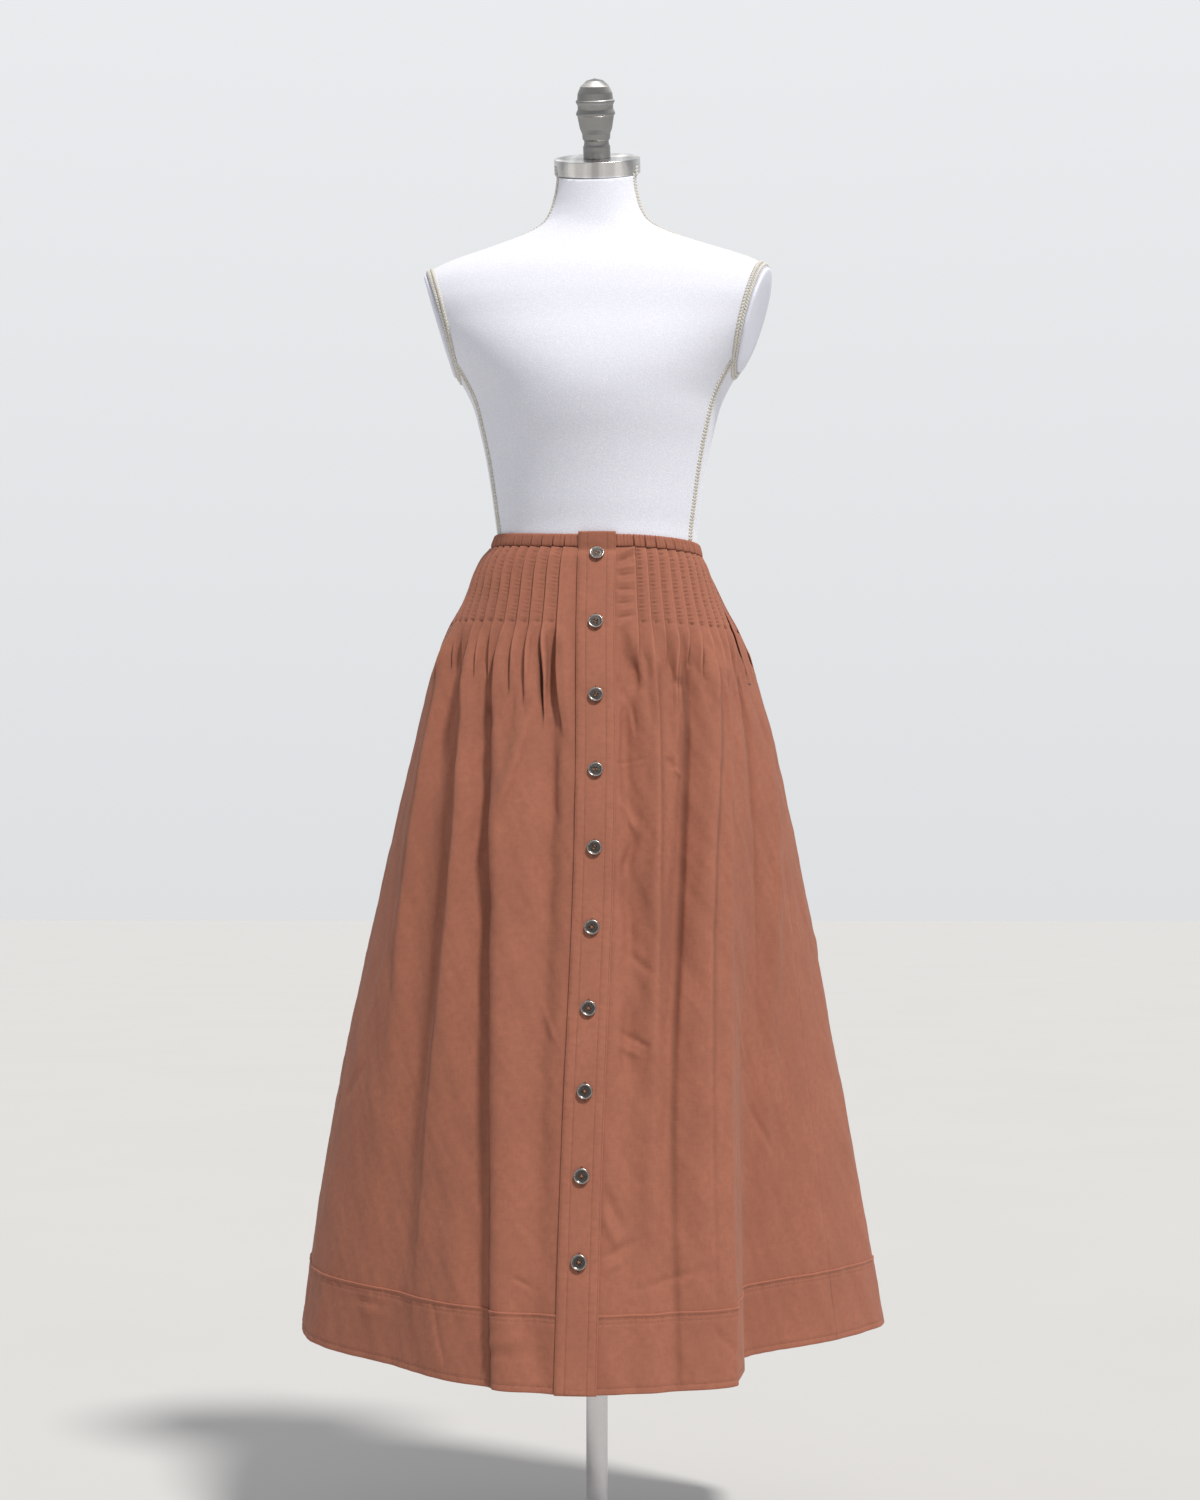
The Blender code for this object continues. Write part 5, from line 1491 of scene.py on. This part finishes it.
def sew_on(shape, turn, crossed):
    """Two bars of three threads from hole to hole, the second over the first."""
    spacing = sizes().button.hole_spacing / 2
    spin = Matrix.Rotation(turn, 4, "Z")
    pairs = [((-1, 1), (1, -1)), ((-1, -1), (1, 1))] if crossed else [((-1, 1), (1, 1)), ((-1, -1), (1, -1))]
    for over, (start, end) in enumerate(pairs):
        one, two = Vector((*start, 0)) * spacing, Vector((*end, 0)) * spacing
        across = (two - one).normalized().cross(Vector((0, 0, 1)))
        for strand in (-1, 0, 1):
            path = []
            for i in range(9):
                t = i / 8
                arch = THREAD_ARCH * (1 - (2 * t - 1) ** 4) + THREAD_OVER * over * (1 - (2 * t - 1) ** 2)
                lift = Vector((0, 0, THREAD_START + arch))
                path.append(spin @ (one.lerp(two, t) + across * THREAD_APART * strand + lift))
            add_tube(shape, path, THREAD_RADIUS, 6, 2)


def make_buttons():
    master = button_mesh()
    for k, height in enumerate(button_heights()):
        node = "button_%02d" % (k + 1)
        shape = bmesh.new()
        shape.from_mesh(master)
        turn = math.radians(BUTTON_THREADS["turn"][k])
        bmesh.ops.rotate(shape, verts=shape.verts, cent=(0, 0, 0), matrix=Matrix.Rotation(turn, 3, "Z"))
        sew_on(shape, turn, BUTTON_THREADS["cross"][k])
        finishes = ("button_centre", "button_rim", "button_thread")
        thing = from_shape(node + "_detail", shape, finishes, button_place(height, node))
        place_piece(thing, (node,))
    bpy.data.meshes.remove(master)


def strip_spot(z, inward, side, out):
    q = placket_angle(np.array([z]), inward, side)
    return Vector(strip_point(q, np.array([z]), out)[0])


def button_place(height, node):
    """Turn of a button from the strip under it, at the place of its CAD node."""
    half, reach = PLACKET_WIDTH / 2, BUTTON_RADIUS
    left, right = (strip_spot(height, half - reach, side, PLACKET_FACE) for side in (-1, 1))
    below, above = (strip_spot(height + way * reach, half, -1, PLACKET_FACE) for way in (-1, 1))
    upward = above - below
    x = (right - left).normalized()
    y = (upward - x * upward.dot(x)).normalized()
    n = x.cross(y)
    low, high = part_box(node)
    middle = (low + high) / 2 - n * BUTTON_SUNK
    return Matrix.Translation(middle) @ Matrix((x, y, n)).transposed().to_4x4()


def joined_runs(runs):
    """Places, directions and normals of several runs as one."""
    return tuple(np.concatenate([run[k] for run in runs]) for k in range(3))


def surface_run(q, z, out, pitch, point=cloth):
    """Stitches along a line of the cloth."""
    here = point(q, z, out)
    above = point(q, z, out + 0.001)
    return run_of(here, (above - here) * 1000, pitch)


def stitch_placket(size):
    z = np.linspace(PLACKET_TOP - 0.0015, PLACKET_FOOT + 0.0015, 900)
    pitch = sizes().cloth.stitch_pitch
    runs = []
    for side in (-1, 1):
        for inward in STITCH_ROWS:
            q = placket_angle(z, inward, side)
            runs.append(surface_run(q, z, 0.00285 + placket_relief(q, z), pitch, strip_point))
    z = np.full(60, HEM_LOW + FOOT_FOLD)
    q = strip_edges(z)[0] + np.linspace(0.03, 0.97, 60) * (strip_edges(z)[1] - strip_edges(z)[0])
    runs.append(surface_run(q, z, 0.0029 + placket_relief(q, z), pitch, strip_point))
    place_piece(beads("stitches_placket", *joined_runs(runs), size, "thread"))


def stitch_hem(size):
    runs = []
    for row in HEM_ROWS_OF_STITCHES:
        low, high = strip_edges(row)
        seam = SIDE_SEAM - 0.1
        for start, end in ((-seam, low), (high, seam), (SIDE_SEAM + 0.2, BACK_END - 0.2)):
            q, z = np.linspace(float(start), float(end), 900), np.full(900, row)
            runs.append(surface_run(q, z, 0.00042 + small_relief(q, z), sizes().cloth.stitch_pitch))
    place_piece(beads("stitches_hem", *joined_runs(runs), size, "thread", 5, 4))


def stitch_pockets(size):
    """Two rows along each pocket mouth, and a bar tack across its ends."""
    runs = []
    for side in (-1, 1):
        z = np.linspace(POCKET_MIDDLE + 0.056, POCKET_MIDDLE - 0.056, 120)
        for inward in (0.0022, 0.0075):
            q = panel_seam(z, side) - side * inward / degree_length(np.full(120, side * 75.0), z)
            runs.append(surface_run(q, z, 0.0004 + small_relief(q, z), sizes().cloth.stitch_pitch))
        for end in (POCKET_MIDDLE + 0.054, POCKET_MIDDLE - 0.054):
            q, tall = side * (SIDE_SEAM - np.linspace(0.2, 3.6, 20)), np.full(20, end)
            place, ahead, up = surface_run(q, tall, 0.0006 + small_relief(q, tall), 0.0006)
            runs.append((place, np.cross(ahead, up), up))
    place_piece(beads("stitches_pockets", *joined_runs(runs), size, "thread"))


def stitch_buttonholes(size):
    """Ends of the worked buttonholes, which show above and below the buttons."""
    middle, probe = PLACKET_WIDTH / 2, 0.001
    rows = []
    for height in button_heights():
        for end in (-1, 1):
            for k in range(7):
                z = height + end * (0.0076 + 0.0004 * k)
                here = strip_spot(z, middle, -1, PLACKET_FACE)
                across = (strip_spot(z, middle + 2 * probe, -1, PLACKET_FACE) - here).normalized()
                up = (strip_spot(z, middle, -1, PLACKET_FACE + probe) - here).normalized()
                lift = float(placket_relief(np.array([centre(z)]), np.array([z]))[0]) + 0.0001
                for aside in (0.0,) if k > 4 else (-0.00085, 0.00085):
                    rows.append((here + across * aside + up * lift, across, up))
    places, aims, ups = (np.array(made) for made in zip(*rows))
    place_piece(beads("stitches_buttonholes", places, aims, ups, size, "thread"))


def make_stitching():
    pitch, thread = sizes().cloth.stitch_pitch, sizes().cloth.thread
    stitch_placket((pitch * 0.80, thread, thread * 0.8))
    stitch_hem((pitch * 0.80, thread, thread * 0.8))
    stitch_pockets((pitch * 0.8, thread, thread))
    stitch_buttonholes((0.0015, thread * 0.9, thread * 0.9))


def arm_normal(side):
    forward, down = math.radians(ARM_FORWARD), math.radians(ARM_DOWN)
    return Vector((side * math.cos(forward) * math.cos(down),
                   -math.sin(forward) * math.cos(down), -math.sin(down)))


def arm_face(side):
    """Middle of the plane that an arm is cut off on."""
    return Vector((side * ARM_PLANE_X, 0, ARM_MIDDLE_Z))


def torso_row(z):
    """Half width, front, back and squareness of the torso at a height."""
    return [float(along(z, TORSO["z"], TORSO[c])) for c in ("side", "front", "back", "power")]


def super_ring(z, side, front, back, power, count):
    """Rounded section of the torso at one height."""
    angle = 2 * np.pi * (np.arange(count) + 0.5) / count
    s, c = np.sin(angle), np.cos(angle)
    x = side * np.sign(s) * np.abs(s) ** (2 / power)
    y = -np.where(c > 0, front, back) * np.sign(c) * np.abs(c) ** (2 / power)
    return np.stack([x, y, np.full(count, z)], -1)


def cut_flat(shape, point, normal, low=0.0):
    """Cut what lies above a height on a plane, and close it with one flat face."""
    faces = [f for f in shape.faces if min(v.co.z for v in f.verts) >= low]
    edges = list(dict.fromkeys(e for f in faces for e in f.edges))
    verts = list(dict.fromkeys(v for f in faces for v in f.verts))
    made = bmesh.ops.bisect_plane(shape, geom=faces + edges + verts, dist=1e-6,
                                  plane_co=point, plane_no=normal, clear_outer=True)
    rim = [e for e in made["geom_cut"] if isinstance(e, bmesh.types.BMEdge)]
    face = bmesh.ops.contextual_create(shape, geom=rim)["faces"][0]
    face.smooth = False
    return [v.co.copy() for v in face.verts]


def neck_frame():
    tilt = math.radians(NECK_TILT)
    up = Vector((0, -math.sin(tilt), math.cos(tilt)))
    return Vector((0, 0, CAP_TOP)) - up * CAP_HEIGHT, up, Matrix.Rotation(tilt, 4, "X")


def make_torso():
    """Knitted cover, cut flat at the neck and both arms. Gives it with the arms' rims."""
    shoulder, around = 1.30, 144
    heights = np.concatenate([np.linspace(TORSO_LOW, shoulder, 60), np.linspace(shoulder, TORSO_TOP, 96)[1:]])
    shape = bmesh.new()
    rings = [[shape.verts.new(p) for p in super_ring(z, *torso_row(z), around)] for z in heights]
    for low, high in zip(rings, rings[1:]):
        for k in range(around):
            j = (k + 1) % around
            shape.faces.new((low[k], low[j], high[j], high[k])).smooth = True
    shape.faces.new(list(reversed(rings[0])))
    shape.faces.new(rings[-1])
    bmesh.ops.recalc_face_normals(shape, faces=shape.faces)
    cap_low, up, _ = neck_frame()
    cut_flat(shape, cap_low - up * SEAM, up)
    rims = {side: cut_flat(shape, arm_face(side), arm_normal(side), ARM_CUT_FROM) for side in (-1, 1)}
    bmesh.ops.recalc_face_normals(shape, faces=shape.faces)
    thing = from_shape("torso_cover", shape, ("jersey",))
    place_piece(thing, ("form_torso",))
    for side, name in ((-1, "arm_plate_right"), (1, "arm_plate_left")):
        make_arm_plate(name, arm_normal(side), rims[side])
    return thing, rims


def make_arm_plate(node, normal, rim):
    """Covered plate with an eased edge and a slight crown."""
    middle = sum(rim, Vector()) / len(rim)
    thick = ARM_PLATE
    layers = ((SEAM, 0.50), (SEAM, 0.965), (SEAM + thick * 0.55, 0.968), (SEAM + thick * 0.85, 0.955),
              (SEAM + thick, 0.92), (SEAM + thick * 1.1, 0.70), (SEAM + thick * 1.15, 0.35))
    shape = bmesh.new()
    rings = [[shape.verts.new(middle + (p - middle) * share + normal * out) for p in rim]
             for out, share in layers]
    for one, two in zip(rings, rings[1:]):
        for k in range(len(rim)):
            j = (k + 1) % len(rim)
            shape.faces.new((one[k], one[j], two[j], two[k])).smooth = True
    shape.faces.new(rings[0])
    shape.faces.new(rings[-1]).smooth = True
    bmesh.ops.recalc_face_normals(shape, faces=shape.faces)
    place_piece(from_shape(node + "_cover", shape, ("plate",)), (node,))


def make_cap_and_finial():
    cap_low, up, turn = neck_frame()
    r, h = CAP_RADIUS, CAP_HEIGHT
    outline = bevelled([(0, 0), (r, 0), (r, h), (0, h)], 0.0012, 4)
    place_piece(lathe("neck_cap_detail", outline, 128, "cap", Matrix.Translation(cap_low) @ turn),
                ("neck_cap",))
    soft = [(0, 0)] + bevelled([(float(r), float(h)) for r, h in zip(FINIAL["r"], FINIAL["h"])], 0.0005, 3)
    place = Matrix.Translation(cap_low + up * (CAP_HEIGHT + SEAM)) @ turn
    place_piece(lathe("finial_detail", soft, 96, "finial", place, 28), ("finial",))


def torso_point(z, turn):
    """Point and outward direction on the torso's cover."""
    side, front, back, power = torso_row(z)
    s, c = math.sin(turn), math.cos(turn)
    deep = front if c > 0 else back
    x = side * math.copysign(abs(s) ** (2 / power), s)
    y = -deep * math.copysign(abs(c) ** (2 / power), c)
    return Vector((x, y, z)), Vector((x / side ** 2, y / deep ** 2, 0)).normalized()


def braid_run(laid, lift, width):
    """Two rows of leaning links along a path of points with their outward directions."""
    pitch = width * 0.36
    points = np.array([tuple(p + n * lift) for p, n in laid])
    place, ahead, up = run_of(points, np.array([tuple(n) for _, n in laid]), pitch)
    across = np.cross(up, ahead)
    across /= np.linalg.norm(across, axis=1, keepdims=True)
    lean = math.radians(38)
    rows = []
    for way in (-1, 1):
        aim = ahead * math.cos(lean) + across * way * math.sin(lean)
        rows.append((place + across * way * width * 0.23 + ahead * pitch * 0.25 * way, aim, up))
    return joined_runs(rows)


def make_braid(cover, rims):
    """Braid round both arm rims, down both sides and along both shoulders, laid on the cover."""
    width = sizes().form.braid_width
    runs = []
    for side in (-1, 1):
        normal, face, rim = arm_normal(side), arm_face(side), rims[side]
        middle = sum(rim, Vector()) / len(rim)
        loop = [cover.closest_point_on_mesh(p + (p - middle).normalized() * 0.002 - normal * width * 0.46)
                for p in rim + rim[:1]]
        runs.append(braid_run([(p, n) for _, p, n, _ in loop], 0.0004, width))
        turn = side * math.radians(BRAID_SIDE)
        line = [torso_point(z, turn) for z in np.linspace(WAIST_TOP, ARM_MIDDLE_Z, 120)]
        line = [(p, n) for p, n in line if p.z < ARM_CUT_FROM or (p - face).dot(normal) < -0.001]
        runs.append(braid_run(line, BRAID_LIFT, width))
        line = []
        for z in np.linspace(1.470, 1.592, 160):
            turn = BRAID_SHOULDER + (BRAID_NECK - BRAID_SHOULDER) * float(step(z, 1.49, 1.545))
            here, _ = torso_point(z, side * math.radians(turn))
            if (here - face).dot(normal) < -0.001:
                line.append((here, cover.closest_point_on_mesh(here)[2].normalized()))
        runs.append(braid_run(line, BRAID_LIFT, width))
    size = (width * 0.66, width * 0.38, width * 0.32)
    place_piece(beads("form_braid", *joined_runs(runs), size, "braid", 6, 4))


def make_stand():
    top = TORSO_LOW - SEAM
    low = top - HUB_HEIGHT
    r = HUB_RADIUS
    hub = bevelled([(0, low), (r, low), (r, top), (0, top)], 0.0020, 5)
    place_piece(lathe("hub_detail", hub, 96, "base"), ("hub",))
    tube = bevelled([(0, BASE_HEIGHT + SEAM), (POLE_RADIUS, BASE_HEIGHT + SEAM),
                     (POLE_RADIUS, low - SEAM), (0, low - SEAM)], 0.0004, 2)
    place_piece(lathe("pole_detail", tube, 96, "pole"), ("pole",))
    inner, outer = POLE_RADIUS + SEAM, POLE_RADIUS + 0.012
    collar_top = BASE_HEIGHT + 0.035
    ring = [(inner, BASE_HEIGHT + SEAM), (inner, collar_top), (outer - 0.0014, collar_top),
            (outer, collar_top - 0.0014), (outer, BASE_HEIGHT + 0.010), (outer + 0.0012, BASE_HEIGHT + 0.006),
            (outer + 0.006, BASE_HEIGHT + 0.0022), (outer + 0.006, BASE_HEIGHT + SEAM)]
    ring = bevelled(ring, 0.0006, 3) + [ring[0]]
    place_piece(lathe("base_collar_detail", ring, 96, "pole"), ("base_collar",))
    r = BASE_RADIUS
    plate = bevelled([(0, 0), (r - 0.001, 0), (r, 0.001), (r, 0.005), (r - 0.004, 0.008),
                      (0.04, BASE_HEIGHT), (0, BASE_HEIGHT)], 0.0012, 4)
    place_piece(lathe("base_plate_detail", plate, 160, "base", None, 50), ("base_plate",))


def make_world(have):
    """Soft light, brighter overhead and behind the form, with soft bands in front for the metal."""
    world = bpy.data.worlds.new("Soft studio")
    bpy.context.scene.world = world
    world.use_nodes = True
    tree = world.node_tree
    link, sky = tree.links.new, tree.nodes["Background"]
    sky.inputs["Strength"].default_value = have.fill_power
    way = tree.nodes.new("ShaderNodeSeparateXYZ")
    link(tree.nodes.new("ShaderNodeTexCoord").outputs["Generated"], way.inputs[0])

    def ramp(out, low, high, to_low, to_high):
        made = tree.nodes.new("ShaderNodeMapRange")
        for label, value in (("From Min", low), ("From Max", high), ("To Min", to_low), ("To Max", to_high)):
            made.inputs[label].default_value = value
        link(out, made.inputs["Value"])
        return made.outputs["Result"]

    def maths(kind, one, other=0.0):
        made = tree.nodes.new("ShaderNodeMath")
        made.operation = kind
        for socket, value in zip(made.inputs, (one, other)):
            if isinstance(value, float):
                socket.default_value = value
            else:
                link(value, socket)
        return made.outputs[0]

    overhead = ramp(way.outputs["Z"], -0.1, 0.9, 0.84, 1.10)
    behind = ramp(way.outputs["Y"], -0.2, 0.7, 0.92, 1.96)
    front = ramp(way.outputs["Y"], 0.1, -0.7, 0.0, 0.5)
    waves = maths("SINE", maths("ADD", maths("MULTIPLY", way.outputs["X"], 8.0), 0.9))
    total = maths("MULTIPLY", overhead, maths("ADD", maths("MULTIPLY", waves, front), 1.0))
    total = maths("MULTIPLY", total, behind)
    tinted = tree.nodes.new("ShaderNodeVectorMath")
    tinted.operation = "SCALE"
    tinted.inputs[0].default_value = (0.960, 0.978, 1.0)
    link(total, tinted.inputs["Scale"])
    link(tinted.outputs[0], sky.inputs["Color"])


def make_stage():
    have = sizes().stage
    mesh = bpy.data.meshes.new("floor")
    reach = 60.0
    mesh.from_pydata([(-reach, -reach, 0), (reach, -reach, 0), (reach, reach, 0), (-reach, reach, 0)],
                     [], [(0, 1, 2, 3)])
    mesh.materials.append(floor_finish("Pale floor", have.floor_colour))
    linked("floor", mesh)
    make_world(have)
    key = bpy.data.lights.new("key", "SUN")
    key.energy, key.angle, key.color = have.key_power, math.radians(7), (1.0, 0.965, 0.92)
    a, e = have.key_azimuth, have.key_elevation
    toward = Vector((math.sin(a) * math.cos(e), -math.cos(a) * math.cos(e), math.sin(e)))
    linked("key", key).rotation_euler = toward.to_track_quat("Z", "Y").to_euler()
    bpy.context.scene.view_settings.view_transform = "Standard"
    bpy.context.scene.view_settings.look = "None"


def make_camera():
    """Camera at the photo's place, for an upright frame of 1200 x 1500."""
    data = bpy.data.cameras.new("photo_camera")
    data.lens, data.sensor_width, data.sensor_fit = CAMERA_LENS, CAMERA_SENSOR, "AUTO"
    data.shift_x = CAMERA_SHIFT
    data.clip_end = 100.0
    camera = linked("photo_camera", data)
    a = math.radians(CAMERA_AZIMUTH)
    camera.location = (CAMERA_DISTANCE * math.sin(a), -CAMERA_DISTANCE * math.cos(a), CAMERA_HEIGHT)
    camera.rotation_euler = (math.radians(90 + CAMERA_PITCH), 0, a)
    bpy.context.scene.camera = camera


class SKIRT_OT_panels(bpy.types.Operator):
    """Make the front and back panels with their stitched tucks and folds"""
    bl_idname = "skirt.panels"
    bl_label = "Panels"

    def execute(self, context):
        make_front_panel("front_cloth_right", -1, "front_panel_right", (0.50, 0.83), 0.34)
        make_front_panel("front_cloth_left", 1, "front_panel_left", (0.48, 0.83), 0.32)
        make_back_panel()
        return {"FINISHED"}


class SKIRT_OT_bands(bpy.types.Operator):
    """Make the rippled waistband and the hem band"""
    bl_idname = "skirt.bands"
    bl_label = "Waistband and hem band"

    def execute(self, context):
        make_hem_band("hem_cloth_front_right", lambda z: panel_seam(z, -1), lambda z: panel_edge(z, -1), 280,
                      "hem_band_front_right")
        make_hem_band("hem_cloth_front_left", lambda z: panel_edge(z, 1), lambda z: panel_seam(z, 1), 280,
                      "hem_band_front_left")
        make_hem_band("hem_cloth_back", lambda z: SIDE_SEAM + seam_gap(z), lambda z: BACK_END - seam_gap(z),
                      560, "hem_band_back")
        low = np.array(BAND_LOW)
        gap = float(seam_gap(low))
        right_edge, left_edge = float(panel_edge(low, -1)), float(panel_edge(low, 1))
        make_waistband("waist_cloth_front_right", -SIDE_SEAM + gap, right_edge, 420, (0,), 0.55,
                       "waistband_front_right")
        make_waistband("waist_cloth_front_left", left_edge, SIDE_SEAM - gap, 420, (1,), 1.25,
                       "waistband_front_left")
        make_waistband("waist_cloth_back", SIDE_SEAM + gap, BACK_END - gap, 640, (2, 3), 0.9,
                       "waistband_back")
        return {"FINISHED"}


class SKIRT_OT_strips(bpy.types.Operator):
    """Make the placket and the strip under it"""
    bl_idname = "skirt.strips"
    bl_label = "Button strips"

    def execute(self, context):
        make_placket()
        make_button_stand()
        return {"FINISHED"}


class SKIRT_OT_pockets(bpy.types.Operator):
    """Make the pocket bags with their facings"""
    bl_idname = "skirt.pockets"
    bl_label = "Pockets"

    def execute(self, context):
        make_pocket("pocket_cloth_right", -1, "pocket_bag_right")
        make_pocket("pocket_cloth_left", 1, "pocket_bag_left")
        return {"FINISHED"}


class SKIRT_OT_buttons(bpy.types.Operator):
    """Make the ten sewn-on buttons"""
    bl_idname = "skirt.buttons"
    bl_label = "Buttons"

    def execute(self, context):
        make_buttons()
        return {"FINISHED"}


class SKIRT_OT_stitching(bpy.types.Operator):
    """Sew the placket, hem, pockets and buttonholes"""
    bl_idname = "skirt.stitching"
    bl_label = "Stitching"

    def execute(self, context):
        make_stitching()
        return {"FINISHED"}


class SKIRT_OT_form(bpy.types.Operator):
    """Make the dress form with its plates, braid, cap and finial"""
    bl_idname = "skirt.form"
    bl_label = "Dress form"

    def execute(self, context):
        make_braid(*make_torso())
        make_cap_and_finial()
        return {"FINISHED"}


class SKIRT_OT_stand(bpy.types.Operator):
    """Make the hub, pole, collar and base plate"""
    bl_idname = "skirt.stand"
    bl_label = "Stand"

    def execute(self, context):
        make_stand()
        return {"FINISHED"}


class SKIRT_OT_stage(bpy.types.Operator):
    """Make the floor, the lights and the camera"""
    bl_idname = "skirt.stage"
    bl_label = "Stage"

    def execute(self, context):
        make_stage()
        make_camera()
        return {"FINISHED"}


OPERATORS = (SKIRT_OT_stage, SKIRT_OT_form, SKIRT_OT_stand, SKIRT_OT_panels, SKIRT_OT_bands,
             SKIRT_OT_strips, SKIRT_OT_pockets, SKIRT_OT_buttons, SKIRT_OT_stitching)


class SKIRT_PT_looks(bpy.types.Panel):
    """Pieces and sizes of the skirt"""
    bl_label = "Midi skirt"
    bl_idname = "SKIRT_PT_looks"
    bl_space_type = "VIEW_3D"
    bl_region_type = "UI"
    bl_category = "Skirt"

    def draw(self, context):
        looks = context.scene.skirt_looks
        for group in (looks.cloth, looks.button, looks.form, looks.stage):
            column = self.layout.column(align=True)
            for name in group.__annotations__:
                column.prop(group, name)
        for made in OPERATORS:
            self.layout.operator(made.bl_idname)


CLASSES = (ClothSizes, ButtonSizes, FormSizes, StageSizes, SkirtLooks) + OPERATORS + (SKIRT_PT_looks,)


def register():
    for made in CLASSES:
        bpy.utils.register_class(made)
    bpy.types.Scene.skirt_looks = bpy.props.PointerProperty(type=SkirtLooks)


def unregister():
    del bpy.types.Scene.skirt_looks
    for made in reversed(CLASSES):
        bpy.utils.unregister_class(made)


def main():
    register()
    for made in OPERATORS:
        getattr(bpy.ops.skirt, made.bl_idname.split(".")[1])()


if __name__ == "__main__":
    main()
